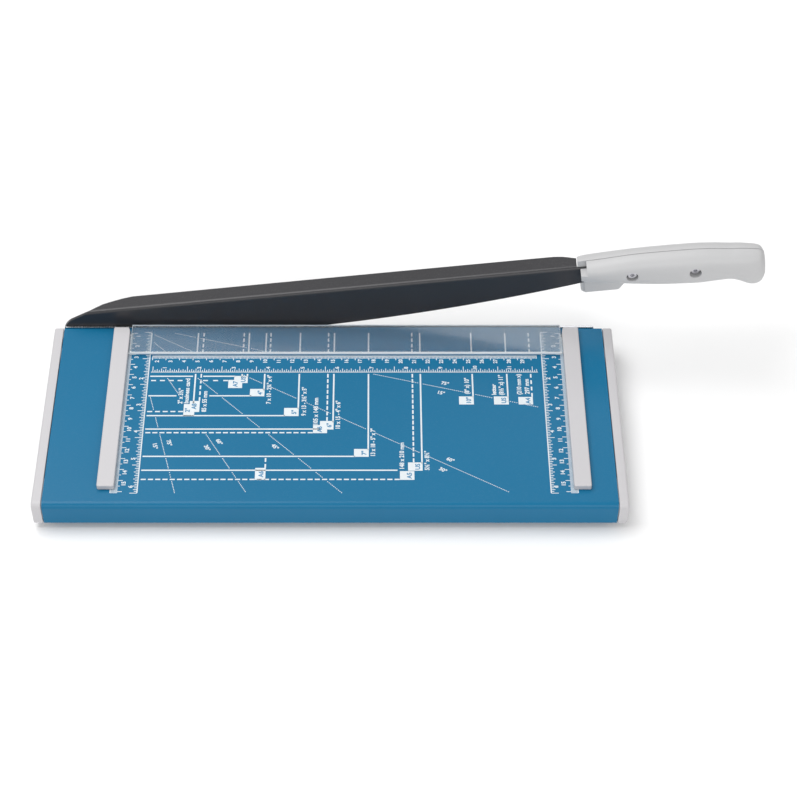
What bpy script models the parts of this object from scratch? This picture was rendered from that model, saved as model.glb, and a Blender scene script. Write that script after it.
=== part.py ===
"""Desk paper cutter: a lever arm with a curved blade, a sheet-metal table with
two end caps and two fences, and a clear spring-lifted clamp along the cut."""

import math

import bmesh
import bpy
from mathutils import Matrix, Vector

# All lengths are in metres. X runs along the cut, from the left fence to the
# right one, Y runs away from the user with the cutting plane at zero, and Z is
# up from the desk. The arm's pieces are drawn in the arm's own frame, whose
# origin is the pivot and whose X runs along the arm.

# Fits
SEAT_GAP = 0.0003
RUN_CLEARANCE = 0.0001
CUT_OVERRUN = 0.003
MERGE_DISTANCE = 0.000005
ROUND_SEGMENTS = 24
SMALL_SEGMENTS = 12
ARC_STEPS = 5
SHARP_EDGE_DEG = 32

# Sheet-metal table
TABLE_LENGTH = 0.4026
TABLE_DEPTH = 0.1698
TABLE_HEIGHT = 0.0203
TABLE_LEFT_MARGIN = 0.0500
TABLE_FRONT_BEND = 0.0042
TABLE_REAR_BEND = 0.0016
TABLE_LIP_WIDTH = 0.0090
SHEET_THICKNESS = 0.0012

# End caps
CAP_WIDTH = 0.0072
CAP_EDGE_RADIUS = 0.0034
CAP_EDGE_SEGMENTS = 3
CAP_BLOCK_LENGTH = 0.0135
CAP_REAR_BLOCK_LENGTH = 0.0066
CAP_REAR_BLOCK_DEPTH = 0.0085
CAP_FRONT_BLOCK_DEPTH = 0.0260
CAP_FOOT_BLOCK_DEPTH = 0.0130

# Rubber feet
FOOT_STANDOFF = 0.0047
FOOT_RADIUS = 0.0056
FOOT_EDGE = 0.0008
FOOT_STEM_RADIUS = 0.0025
FOOT_STEM_LENGTH = 0.0070
FOOT_REAR_INSET = 0.0260
FOOT_FRONT_INSET = 0.0200

# Lower blade
LOWER_BLADE_LENGTH = 0.3960
LOWER_BLADE_HEIGHT = 0.0160
LOWER_BLADE_THICKNESS = 0.0015
LOWER_BLADE_MARGIN = 0.0005
LOWER_BLADE_SCREW_COUNT = 4
LOWER_BLADE_SCREW_FIRST = 0.0160
LOWER_BLADE_SCREW_PITCH = 0.0965
LOWER_BLADE_SCREW_DROP = 0.0080

# Fences
FENCE_GAP = 0.3220
FENCE_WIDTH = 0.0123
FENCE_HEIGHT = 0.0042
FENCE_SETBACK = 0.0052
FENCE_LENGTH = 0.1521
FENCE_CORNER = 0.0012
FENCE_EDGE = 0.0009
FENCE_EDGE_SEGMENTS = 2
FENCE_LEAD_WIDTH = 0.0018
FENCE_LEAD_LENGTH = 0.0062
FENCE_ROOF = 0.0010
FENCE_FRONT_SCREW_INSET = 0.0120
FENCE_REAR_SCREW_INSET = 0.0038

# Clear clamp
CLAMP_END_GAP = 0.0011
CLAMP_DEPTH = 0.0281
CLAMP_SETBACK = 0.0025
CLAMP_THICKNESS = 0.0028
CLAMP_LIFT = 0.0014
CLAMP_EDGE = 0.0004
CLAMP_TAB_THICKNESS = 0.0018
CLAMP_TAB_SETBACK = 0.0125
CLAMP_TAB_REACH = 0.0098
CLAMP_TAB_SKIN = 0.0005
CLAMP_POST_RADIUS = 0.0025
STOP_WASHER_RADIUS = 0.0047
STOP_WASHER_THICKNESS = 0.0012

# Clamp guide housings
GUIDE_PLATE_THICKNESS = 0.0030
GUIDE_PLATE_WIDTH = 0.0150
GUIDE_PLATE_END = 0.0050
GUIDE_CUP_WALL = 0.0014
GUIDE_CUP_PLAY = 0.0005
GUIDE_CUP_DEPTH = 0.0130
GUIDE_CUP_FLOOR = 0.0015

# Clamp springs
SPRING_WIRE_RADIUS = 0.0004
SPRING_COIL_RADIUS = 0.0037
SPRING_TURNS = 5
SPRING_TURN_POINTS = 10

# Pivot
PIVOT_FROM_FENCE = 0.0360
PIVOT_DROP = 0.0070
PIVOT_RADIUS = 0.0030
PIVOT_HOLE_PLAY = 0.0003
PIVOT_HEAD_RADIUS = 0.0062
PIVOT_HEAD_HEIGHT = 0.0042
PIVOT_HEAD_EDGE = 0.0008
PIVOT_SOCKET_RADIUS = 0.0027
PIVOT_SOCKET_DEPTH = 0.0022
PIVOT_NUT_FLATS = 0.0100
PIVOT_NUT_THICKNESS = 0.0040
PIVOT_END = 0.0010
HEAD_WASHER_RADIUS = 0.0072
NUT_WASHER_RADIUS = 0.0053
PIVOT_WASHER_THICKNESS = 0.0010
DISC_SPRING_RADIUS = 0.0051
DISC_SPRING_THICKNESS = 0.0007
DISC_SPRING_RISE = 0.0006
PIVOT_PLATE_THICKNESS = 0.0040
PIVOT_PLATE_LEFT = 0.0065
PIVOT_PLATE_RIGHT = 0.0180
PIVOT_PLATE_HEIGHT = 0.0160
PIVOT_PLATE_CORNER = 0.0020
BUSH_NECK_RADIUS = 0.0046
BUSH_FLANGE_RADIUS = 0.0076
BUSH_FLANGE_LENGTH = 0.0040

# Arm with its curved blade
ARM_OPEN_DEG = 7.5
ARM_THICKNESS = 0.0022
ARM_TOP = 0.0199
ARM_BEND_RADIUS = 0.0026
ARM_INNER_RADIUS = 0.0004
ARM_NOSE_RADIUS = 0.0152
ARM_NOSE_SLOPE_DEG = 66.0
ARM_BLADE_START = 0.0360
ARM_BLADE_INSERT = 0.0036
ARM_EDGE_RADIUS = 1.3150
ARM_EDGE_LOW_AT = 0.1400
ARM_EDGE_LOW = 0.0169
ARM_EDGE_STEPS = 28
ARM_EDGE_LAND = 0.0006
ARM_EDGE_GRIND = 0.0045
FLANGE_START = 0.0080
FLANGE_TO_HANDLE = 0.0005
FLANGE_DEPTH = 0.0140
FLANGE_END_TAPER = 0.0250
FLANGE_NOSE_TAPER = 0.0320
TANG_END_WALL = 0.0418
TANG_TOP = 0.0192
TANG_BOTTOM = 0.0075
TANG_CORNER = 0.0030

# The flange's edge seen from above, at its right end and at the nose: shares of
# the taper's length from its narrow end, and of the flange's depth there
FLANGE_END_SHARES = ((0.0, 0.72), (0.4, 0.92), (1.0, 1.0))
FLANGE_NOSE_SHARES = ((1.0, 0.93), (0.5, 0.68))

# Handle
HANDLE_START = 0.3720
HANDLE_LENGTH = 0.1348
HANDLE_HEIGHT = 0.0298
HANDLE_WIDTH = 0.0244
HANDLE_AXIS = 0.0130
HANDLE_SQUARENESS = 2.35
HANDLE_RING_POINTS = 24
HANDLE_RINGS = 24
HANDLE_CROWDING_SHARE = 0.045
HANDLE_REAR_SHARE = 1.10
HANDLE_FRONT_STEP = 0.0020
HANDLE_NOTCH = 0.0065
GUARD_LENGTH = 0.0340
GUARD_DEPTH = 0.0080
GUARD_BELOW = 0.0086
GUARD_EDGE = 0.0020

# Places along the handle, then the centre, half height and half width there
HANDLE_SHARES = (
    (0.000, 0.150, 0.260, 0.350),
    (0.030, 0.145, 0.276, 0.400),
    (0.100, 0.128, 0.306, 0.440),
    (0.180, 0.106, 0.354, 0.455),
    (0.250, 0.084, 0.402, 0.460),
    (0.320, 0.064, 0.438, 0.470),
    (0.430, 0.028, 0.474, 0.490),
    (0.540, 0.003, 0.492, 0.500),
    (0.650, -0.020, 0.500, 0.500),
    (0.750, -0.032, 0.464, 0.485),
    (0.820, -0.056, 0.440, 0.475),
    (0.870, -0.118, 0.486, 0.475),
    (0.915, -0.195, 0.534, 0.470),
    (0.955, -0.222, 0.530, 0.440),
    (0.985, -0.205, 0.455, 0.370),
    (1.000, -0.190, 0.300, 0.250),
)

# Handle screws, which pass through both halves and the tang
HANDLE_SCREW_PLACES = (0.0388, 0.0842)
HANDLE_SCREW_HEIGHTS = (0.0152, 0.0140)
HANDLE_SCREW_RADIUS = 0.0020
HANDLE_SCREW_HEAD = 0.0034
HANDLE_SCREW_HEAD_HEIGHT = 0.0026
HANDLE_RECESS_RADIUS = 0.0043
HANDLE_RECESS_FLOOR = 0.0062
HANDLE_SOCKET_RADIUS = 0.0017
HANDLE_SOCKET_DEPTH = 0.0014
HANDLE_NUT_FLATS = 0.0064
HANDLE_NUT_THICKNESS = 0.0028
HANDLE_NUT_FLOOR = 0.0066
HANDLE_HEAD_RIM_SHARE = 0.80
HANDLE_HEAD_TOP_SHARE = 0.92

# Small screws
SCREW_PLAY = 0.0003
CAP_SCREW_RADIUS = 0.0015
CAP_SCREW_HEAD = 0.0030
CAP_SCREW_HEAD_HEIGHT = 0.0018
CAP_SCREW_LENGTH = 0.0100
FENCE_SCREW_RADIUS = 0.0014
FENCE_SCREW_HEAD = 0.0027
FENCE_SCREW_HEAD_HEIGHT = 0.0016
FENCE_SCREW_BITE = 0.0027
STOP_SCREW_RADIUS = 0.0011
STOP_SCREW_HEAD = 0.0025
STOP_SCREW_HEAD_HEIGHT = 0.0015
BLADE_SCREW_RADIUS = 0.0018
BLADE_SCREW_HEAD = 0.0030
BLADE_SCREW_SINK = 0.0001
BLADE_SCREW_RIM = 0.0002
BLADE_NUT_FLATS = 0.0070
BLADE_NUT_THICKNESS = 0.0028
CROSS_SLOT_WIDTH = 0.0006
CROSS_SLOT_SHARE = 0.62
CROSS_SLOT_DEPTH = 0.0006
SCREW_TIP_SHARE = 0.60
PAN_RIM_SHARE = 0.55
PAN_TOP_SHARE = 0.80

# Places that follow from the sizes
TABLE_TOP = FOOT_STANDOFF + TABLE_HEIGHT
TABLE_LEFT = -TABLE_LEFT_MARGIN
TABLE_RIGHT = TABLE_LEFT + TABLE_LENGTH
TABLE_REAR = -(LOWER_BLADE_THICKNESS + SEAT_GAP)
TABLE_FRONT = TABLE_REAR - TABLE_DEPTH
SHEET_UNDER = TABLE_TOP - SHEET_THICKNESS
FLANGE_INNER = TABLE_REAR - SHEET_THICKNESS
LIP_TOP = FOOT_STANDOFF + SHEET_THICKNESS
BLOCK_BOTTOM = LIP_TOP + SEAT_GAP
BLOCK_TOP = SHEET_UNDER - SEAT_GAP
CLAMP_LEFT = CLAMP_END_GAP
CLAMP_RIGHT = FENCE_GAP - CLAMP_END_GAP
CLAMP_BOTTOM = TABLE_TOP + CLAMP_LIFT
CLAMP_CENTRE_Y = -(CLAMP_SETBACK + CLAMP_DEPTH / 2)
CLAMP_FRONT = -(CLAMP_SETBACK + CLAMP_DEPTH)
CLAMP_POST_Y = (CLAMP_FRONT - CLAMP_TAB_SETBACK) / 2
FENCE_LINES = (-FENCE_WIDTH / 2, FENCE_GAP + FENCE_WIDTH / 2)
FENCE_REAR_SCREW_Y = -(FENCE_SETBACK + FENCE_REAR_SCREW_INSET)
FENCE_FRONT_SCREW_Y = -(FENCE_SETBACK + FENCE_LENGTH - FENCE_FRONT_SCREW_INSET)
STOP_TOP = SHEET_UNDER - SEAT_GAP
STOP_BOTTOM = STOP_TOP - STOP_WASHER_THICKNESS
GUIDE_TOP = SHEET_UNDER - SEAT_GAP
GUIDE_PLATE_BOTTOM = GUIDE_TOP - GUIDE_PLATE_THICKNESS
GUIDE_CUP_INNER = STOP_WASHER_RADIUS + GUIDE_CUP_PLAY
GUIDE_CUP_BOTTOM = GUIDE_PLATE_BOTTOM - GUIDE_CUP_DEPTH
SPRING_SEAT = GUIDE_CUP_BOTTOM + GUIDE_CUP_FLOOR
FENCE_BOTTOM = TABLE_TOP + SEAT_GAP
PIVOT_X = -PIVOT_FROM_FENCE
PIVOT_Z = TABLE_TOP - PIVOT_DROP
ARM_FRONT = SEAT_GAP
ARM_REAR = ARM_FRONT + ARM_THICKNESS
ARM_MIDDLE = (ARM_FRONT + ARM_REAR) / 2
BUSH_REAR = ARM_REAR + SEAT_GAP + BUSH_FLANGE_LENGTH
HEAD_WASHER_REAR = BUSH_REAR + SEAT_GAP + PIVOT_WASHER_THICKNESS
PIVOT_PLATE_REAR = FLANGE_INNER - SEAT_GAP
PIVOT_PLATE_FRONT = PIVOT_PLATE_REAR - PIVOT_PLATE_THICKNESS
DISC_FRONT = PIVOT_PLATE_FRONT - SEAT_GAP - DISC_SPRING_THICKNESS - DISC_SPRING_RISE
NUT_WASHER_FRONT = DISC_FRONT - SEAT_GAP - PIVOT_WASHER_THICKNESS
PIVOT_NUT_FRONT = NUT_WASHER_FRONT - SEAT_GAP - PIVOT_NUT_THICKNESS
HANDLE_END = HANDLE_START + HANDLE_LENGTH
TANG_RIGHT = HANDLE_END - TANG_END_WALL
ARM_BLADE_END = HANDLE_START + ARM_BLADE_INSERT
FLANGE_RIGHT = HANDLE_START - FLANGE_TO_HANDLE

# Colours, in linear light
BLUE = (0.022, 0.165, 0.345)
LIGHT_GREY = (0.62, 0.61, 0.62)
HANDLE_GREY = (0.55, 0.56, 0.56)
BLACK_STEEL = (0.030, 0.031, 0.035)
BARE_STEEL = (0.50, 0.50, 0.51)
ZINC = (0.56, 0.56, 0.58)
CLEAR_PLASTIC = (0.72, 0.79, 0.86)
BLACK_PLASTIC = (0.035, 0.035, 0.037)
RUBBER = (0.022, 0.022, 0.022)
BRASS = (0.60, 0.42, 0.17)


# Scene helpers
def clear_scene():
    for obj in list(bpy.data.objects):
        bpy.data.objects.remove(obj, do_unlink=True)


def new_collection(name):
    collection = bpy.data.collections.new(name)
    bpy.context.scene.collection.children.link(collection)
    return collection


def principled(name, colour, roughness, metallic, alpha=1.0):
    material = bpy.data.materials.new(name)
    material.use_nodes = True
    shader = material.node_tree.nodes["Principled BSDF"]
    shader.inputs["Base Color"].default_value = (*colour, 1.0)
    shader.inputs["Roughness"].default_value = roughness
    shader.inputs["Metallic"].default_value = metallic
    shader.inputs["Alpha"].default_value = alpha
    material.diffuse_color = (*colour, alpha)
    return material


def place(mesh, name, looks=None, parent=None):
    """Link a mesh as a part, or as a cutter where it has no material."""
    obj = bpy.data.objects.new(name, mesh)
    if looks is None:
        CUTTERS.objects.link(obj)
        obj.display_type = "WIRE"
        obj.hide_render = True
    else:
        PARTS.objects.link(obj)
        mesh.materials.append(looks)
        mesh.shade_smooth()
        mesh.set_sharp_from_angle(angle=math.radians(SHARP_EDGE_DEG))
    if parent is not None:
        obj.parent = parent
    return obj


def mesh_from(bm, name):
    bmesh.ops.recalc_face_normals(bm, faces=bm.faces)
    mesh = bpy.data.meshes.new(name)
    bm.to_mesh(mesh)
    bm.free()
    return mesh


def boolean(obj, tool, operation="DIFFERENCE"):
    modifier = obj.modifiers.new(operation.lower(), "BOOLEAN")
    modifier.object = tool
    modifier.operation = operation
    modifier.solver = "EXACT"
    return modifier


def empty(name, location, parent=None):
    obj = bpy.data.objects.new(name, None)
    obj.empty_display_size = PIVOT_HEAD_RADIUS
    PARTS.objects.link(obj)
    obj.location = location
    obj.parent = parent
    return obj


# Shape helpers
def add_box(bm, low, high):
    low, high = Vector(low), Vector(high)
    size = high - low
    middle = (low + high) / 2
    matrix = Matrix.Translation(middle) @ Matrix.Diagonal((*size, 1.0))
    return bmesh.ops.create_cube(bm, size=1.0, matrix=matrix)["verts"]


def add_rod(bm, start, end, radius, segments=SMALL_SEGMENTS, turn=0.0):
    start, end = Vector(start), Vector(end)
    run = end - start
    matrix = Matrix.Translation((start + end) / 2) @ run.to_track_quat("Z", "Y").to_matrix().to_4x4()
    matrix = matrix @ Matrix.Rotation(turn, 4, "Z")
    return bmesh.ops.create_cone(bm, cap_ends=True, segments=segments, radius1=radius, radius2=radius,
                                 depth=run.length, matrix=matrix)["verts"]


def boxes(name, pairs, looks=None, parent=None):
    bm = bmesh.new()
    for low, high in pairs:
        add_box(bm, low, high)
    return place(mesh_from(bm, name), name, looks, parent)


def rods(name, runs, looks=None, parent=None, segments=SMALL_SEGMENTS):
    """One object of separate round rods, each given as start, end and radius."""
    bm = bmesh.new()
    for start, end, radius in runs:
        add_rod(bm, start, end, radius, segments)
    return place(mesh_from(bm, name), name, looks, parent)


def turned(name, profile, looks=None, parent=None, segments=ROUND_SEGMENTS):
    """A turned piece on the Z axis, from a profile of radius and height that
    starts at the top, runs down the outer side and closes at the axis or at its
    own start."""
    mesh = bpy.data.meshes.new(name)
    closed = profile[0][0] > 0
    edges = [(i, i + 1) for i in range(len(profile) - 1)]
    if closed:
        edges.append((len(profile) - 1, 0))
    mesh.from_pydata([(radius, 0.0, height) for radius, height in profile], edges, [])
    obj = place(mesh, name, looks, parent)
    screw = obj.modifiers.new("turn", "SCREW")
    screw.axis = "Z"
    screw.angle = 2 * math.pi
    screw.steps = segments
    screw.render_steps = segments
    screw.use_merge_vertices = True
    screw.merge_threshold = MERGE_DISTANCE
    screw.use_smooth_shade = True
    return obj


def flat_outline(name, points, thickness):
    """A mesh plate from an outline, lying in XY and centred on its thickness."""
    curve = bpy.data.curves.new(name, "CURVE")
    curve.dimensions = "2D"
    curve.fill_mode = "BOTH"
    curve.extrude = thickness / 2
    spline = curve.splines.new("POLY")
    spline.points.add(len(points) - 1)
    for point, (x, y) in zip(spline.points, points):
        point.co = (x, y, 0.0, 1.0)
    spline.use_cyclic_u = True
    return to_mesh(curve, name)


def to_mesh(curve, name):
    obj = bpy.data.objects.new(name + "_curve", curve)
    CUTTERS.objects.link(obj)
    bpy.context.view_layer.update()
    evaluated = obj.evaluated_get(bpy.context.evaluated_depsgraph_get())
    mesh = bpy.data.meshes.new_from_object(evaluated)
    mesh.name = name
    bpy.data.objects.remove(obj, do_unlink=True)
    bm = bmesh.new()
    bm.from_mesh(mesh)
    bmesh.ops.remove_doubles(bm, verts=bm.verts, dist=MERGE_DISTANCE)
    bmesh.ops.recalc_face_normals(bm, faces=bm.faces)
    bm.to_mesh(mesh)
    bm.free()
    return mesh


def upright(mesh, y_middle):
    """Stand a flat outline up, so that its Y becomes Z, at a place along Y."""
    mesh.transform(Matrix.Translation((0.0, y_middle, 0.0)) @ Matrix.Rotation(math.radians(90), 4, "X"))
    return mesh


def arc(centre, radius, start_deg, end_deg, steps=ARC_STEPS):
    points = []
    for i in range(steps + 1):
        angle = math.radians(start_deg + (end_deg - start_deg) * i / steps)
        points.append((centre[0] + radius * math.cos(angle), centre[1] + radius * math.sin(angle)))
    return points


def rounded_path(corners, radii, steps=ARC_STEPS):
    """An open path whose inner corners are rounded, each with its own radius."""
    path = [corners[0]]
    for before, corner, after, radius in zip(corners, corners[1:], corners[2:], radii):
        here = Vector(corner)
        back = (Vector(before) - here).normalized()
        on = (Vector(after) - here).normalized()
        half = back.angle(on) / 2
        reach = radius / math.tan(half)
        centre = here + (back + on).normalized() * radius / math.sin(half)
        first = here + back * reach - centre
        sweep = first.angle_signed(here + on * reach - centre)
        for i in range(steps + 1):
            turn = Matrix.Rotation(-sweep * i / steps, 2)
            path.append(tuple(centre + turn @ first))
    path.append(corners[-1])
    return path


def pan_screw(name, radius, head, head_height, length, looks, parent):
    """A pan-head screw that points up, with its seat at zero and a cross slot."""
    profile = [(0.0, length), (radius * SCREW_TIP_SHARE, length), (radius, length - radius), (radius, 0.0),
               (head, 0.0), (head, -head_height * PAN_RIM_SHARE), (head * PAN_TOP_SHARE, -head_height),
               (0.0, -head_height)]
    screw = turned(name, profile, looks, parent, SMALL_SEGMENTS)
    reach = head * CROSS_SLOT_SHARE
    half = CROSS_SLOT_WIDTH / 2
    floor = -head_height + CROSS_SLOT_DEPTH
    low = -head_height - CUT_OVERRUN
    bm = bmesh.new()
    add_box(bm, (-reach, -half, low), (reach, half, floor))
    first = place(mesh_from(bm, name + "_slot_a"), name + "_slot_a", None, screw)
    bm = bmesh.new()
    add_box(bm, (-half, -reach, low), (half, reach, floor))
    second = place(mesh_from(bm, name + "_slot_b"), name + "_slot_b", None, screw)
    boolean(screw, first)
    boolean(screw, second)
    return screw


def hex_nut(name, flats, thickness, bore, looks, parent):
    bm = bmesh.new()
    add_rod(bm, (0.0, 0.0, 0.0), (0.0, 0.0, thickness), flats / math.sqrt(3), 6)
    nut = place(mesh_from(bm, name), name, looks, parent)
    run = ((0.0, 0.0, -CUT_OVERRUN), (0.0, 0.0, thickness + CUT_OVERRUN), bore)
    boolean(nut, rods(name + "_bore", [run], None, nut))
    return nut


def washer(name, outer, inner, thickness, looks, parent):
    profile = [(inner, thickness), (outer, thickness), (outer, 0.0), (inner, 0.0)]
    return turned(name, profile, looks, parent)


# Table
def table(base):
    corners = [(TABLE_REAR - TABLE_LIP_WIDTH, FOOT_STANDOFF), (TABLE_REAR, FOOT_STANDOFF),
               (TABLE_REAR, TABLE_TOP), (TABLE_FRONT, TABLE_TOP),
               (TABLE_FRONT, FOOT_STANDOFF), (TABLE_FRONT + TABLE_LIP_WIDTH, FOOT_STANDOFF)]
    radii = (TABLE_REAR_BEND, TABLE_REAR_BEND, TABLE_FRONT_BEND, TABLE_REAR_BEND)
    path = rounded_path(corners, radii)
    bm = bmesh.new()
    verts = [bm.verts.new((TABLE_LEFT, y, z)) for y, z in path]
    edges = [bm.edges.new(pair) for pair in zip(verts, verts[1:])]
    swept = bmesh.ops.extrude_edge_only(bm, edges=edges)["geom"]
    moved = [item for item in swept if isinstance(item, bmesh.types.BMVert)]
    bmesh.ops.translate(bm, verts=moved, vec=(TABLE_LENGTH, 0.0, 0.0))
    bmesh.ops.recalc_face_normals(bm, faces=bm.faces)
    top = max(bm.faces, key=lambda face: face.calc_center_median().z)
    if top.normal.z < 0:
        bmesh.ops.reverse_faces(bm, faces=bm.faces)
    mesh = bpy.data.meshes.new("table")
    bm.to_mesh(mesh)
    bm.free()
    sheet = place(mesh, "table", MATERIALS["blue_paint"], base)
    shell = sheet.modifiers.new("sheet", "SOLIDIFY")
    shell.thickness = SHEET_THICKNESS
    shell.offset = -1.0
    shell.use_even_offset = True
    boolean(sheet, rods("table_holes", table_holes(), None, base))
    return sheet


def table_holes():
    """Every hole in the sheet, as rods that pass through it."""
    high = TABLE_TOP + CUT_OVERRUN
    low = SHEET_UNDER - CUT_OVERRUN
    runs = []
    for x in FENCE_LINES:
        runs.append(((x, CLAMP_POST_Y, low), (x, CLAMP_POST_Y, high), CLAMP_POST_RADIUS + RUN_CLEARANCE))
    for x, y, _ in fence_screw_places():
        runs.append(((x, y, low), (x, y, high), FENCE_SCREW_RADIUS + SCREW_PLAY))
    for x, y in cap_screw_places():
        runs.append(((x, y, FOOT_STANDOFF - CUT_OVERRUN), (x, y, LIP_TOP + CUT_OVERRUN),
                     CAP_SCREW_RADIUS + SCREW_PLAY))
    rear = TABLE_REAR + CUT_OVERRUN
    inner = FLANGE_INNER - CUT_OVERRUN
    for x, z in blade_screw_places():
        runs.append(((x, inner, z), (x, rear, z), BLADE_SCREW_RADIUS + SCREW_PLAY))
    runs.append(((PIVOT_X, inner, PIVOT_Z), (PIVOT_X, rear, PIVOT_Z), PIVOT_RADIUS + PIVOT_HOLE_PLAY))
    return runs


def fence_screw_places():
    """X, Y and the height of the seat under each fence screw's head."""
    places = []
    for x in FENCE_LINES:
        places.append((x, FENCE_REAR_SCREW_Y, GUIDE_PLATE_BOTTOM - SEAT_GAP))
        places.append((x, FENCE_FRONT_SCREW_Y, SHEET_UNDER - SEAT_GAP))
    return places


def cap_screw_places():
    rear = TABLE_REAR - SHEET_THICKNESS - (TABLE_LIP_WIDTH - SHEET_THICKNESS) / 2
    front = TABLE_FRONT + SHEET_THICKNESS + (TABLE_LIP_WIDTH - SHEET_THICKNESS) / 2
    inset = CAP_REAR_BLOCK_LENGTH / 2
    return [(x, y) for x in (TABLE_LEFT + inset, TABLE_RIGHT - inset) for y in (rear, front)]


def blade_screw_places():
    height = TABLE_TOP - LOWER_BLADE_SCREW_DROP
    return [(LOWER_BLADE_SCREW_FIRST + LOWER_BLADE_SCREW_PITCH * i, height)
            for i in range(LOWER_BLADE_SCREW_COUNT)]


def foot_places():
    inset = (CAP_BLOCK_LENGTH - SEAT_GAP) / 2
    rear = -FOOT_REAR_INSET
    front = TABLE_FRONT + FOOT_FRONT_INSET
    return [(x, y) for x in (TABLE_LEFT + inset, TABLE_RIGHT - inset) for y in (rear, front)]


# End caps
def end_cap(name, side, base):
    """A cap for the left end where side is -1, or for the right end where it is 1."""
    edge = TABLE_LEFT if side < 0 else TABLE_RIGHT
    inner = edge + side * SEAT_GAP
    outer = inner + side * CAP_WIDTH
    low, high = min(inner, outer), max(inner, outer)
    outline = rounded_path([(TABLE_FRONT, TABLE_TOP / 2), (TABLE_FRONT, TABLE_TOP), (TABLE_REAR, TABLE_TOP),
                            (TABLE_REAR, FOOT_STANDOFF), (TABLE_FRONT, FOOT_STANDOFF),
                            (TABLE_FRONT, TABLE_TOP / 2)],
                           (TABLE_FRONT_BEND, TABLE_REAR_BEND, TABLE_REAR_BEND, TABLE_REAR_BEND))[:-1]
    mesh = flat_outline(name, outline, high - low)
    # The outline's X and Y become the cap's Y and Z
    turn = Matrix(((0, 0, 1, 0), (1, 0, 0, 0), (0, 1, 0, 0), (0, 0, 0, 1)))
    mesh.transform(Matrix.Translation(((low + high) / 2, 0.0, 0.0)) @ turn)
    bm = bmesh.new()
    bm.from_mesh(mesh)
    rim = [e for e in bm.edges if all(abs(v.co.x - outer) < SEAT_GAP for v in e.verts)
           and sum(abs(f.normal.x) > 0.5 for f in e.link_faces) == 1]
    bmesh.ops.bevel(bm, geom=rim, offset=CAP_EDGE_RADIUS, segments=CAP_EDGE_SEGMENTS, affect="EDGES",
                    profile=0.5, clamp_overlap=True)
    bmesh.ops.recalc_face_normals(bm, faces=bm.faces)
    bm.to_mesh(mesh)
    bm.free()
    cap = place(mesh, name, MATERIALS["light_grey_plastic"], base)

    root = inner + side * CAP_WIDTH / 2
    long_end = edge - side * CAP_BLOCK_LENGTH
    short_end = edge - side * CAP_REAR_BLOCK_LENGTH
    rear = FLANGE_INNER - SEAT_GAP
    front = TABLE_FRONT + SHEET_THICKNESS + SEAT_GAP
    foot_y = -FOOT_REAR_INSET
    half = CAP_FOOT_BLOCK_DEPTH / 2
    pairs = []
    for end, y_low, y_high in ((short_end, rear - CAP_REAR_BLOCK_DEPTH, rear),
                               (long_end, foot_y - half, foot_y + half),
                               (long_end, front, front + CAP_FRONT_BLOCK_DEPTH)):
        pairs.append(((min(root, end), y_low, BLOCK_BOTTOM), (max(root, end), y_high, BLOCK_TOP)))
    blocks = boxes(name + "_blocks", pairs, None, base)
    trim = blocks.modifiers.new("edges", "BEVEL")
    trim.width = TABLE_FRONT_BEND - SHEET_THICKNESS
    trim.limit_method = "NONE"
    trim.segments = 2
    boolean(cap, blocks, "UNION")

    runs = []
    for x, y in cap_screw_places():
        if (x - edge) * side < 0 and abs(x - edge) < CAP_BLOCK_LENGTH:
            runs.append(((x, y, FOOT_STANDOFF), (x, y, FOOT_STANDOFF + CAP_SCREW_LENGTH),
                         CAP_SCREW_RADIUS + SCREW_PLAY))
    for x, y in foot_places():
        if (x - edge) * side < 0 and abs(x - edge) < CAP_BLOCK_LENGTH:
            runs.append(((x, y, FOOT_STANDOFF), (x, y, BLOCK_BOTTOM + FOOT_STEM_LENGTH + SEAT_GAP),
                         FOOT_STEM_RADIUS + SEAT_GAP))
    boolean(cap, rods(name + "_holes", runs, None, base))
    return cap


def cap_screws(base):
    seat = FOOT_STANDOFF - SEAT_GAP
    for number, (x, y) in enumerate(cap_screw_places(), 1):
        screw = pan_screw("end_cap_screw_%d" % number, CAP_SCREW_RADIUS, CAP_SCREW_HEAD, CAP_SCREW_HEAD_HEIGHT,
                          CAP_SCREW_LENGTH, MATERIALS["zinc_steel"], base)
        screw.location = (x, y, seat)


def feet(base):
    top = BLOCK_BOTTOM - SEAT_GAP
    profile = [(0.0, BLOCK_BOTTOM + FOOT_STEM_LENGTH), (FOOT_STEM_RADIUS, BLOCK_BOTTOM + FOOT_STEM_LENGTH),
               (FOOT_STEM_RADIUS, top), (FOOT_RADIUS, top), (FOOT_RADIUS, FOOT_EDGE),
               (FOOT_RADIUS - FOOT_EDGE, 0.0), (0.0, 0.0)]
    for number, (x, y) in enumerate(foot_places(), 1):
        foot = turned("foot_%d" % number, profile, MATERIALS["rubber"], base)
        foot.location = (x, y, 0.0)


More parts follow.
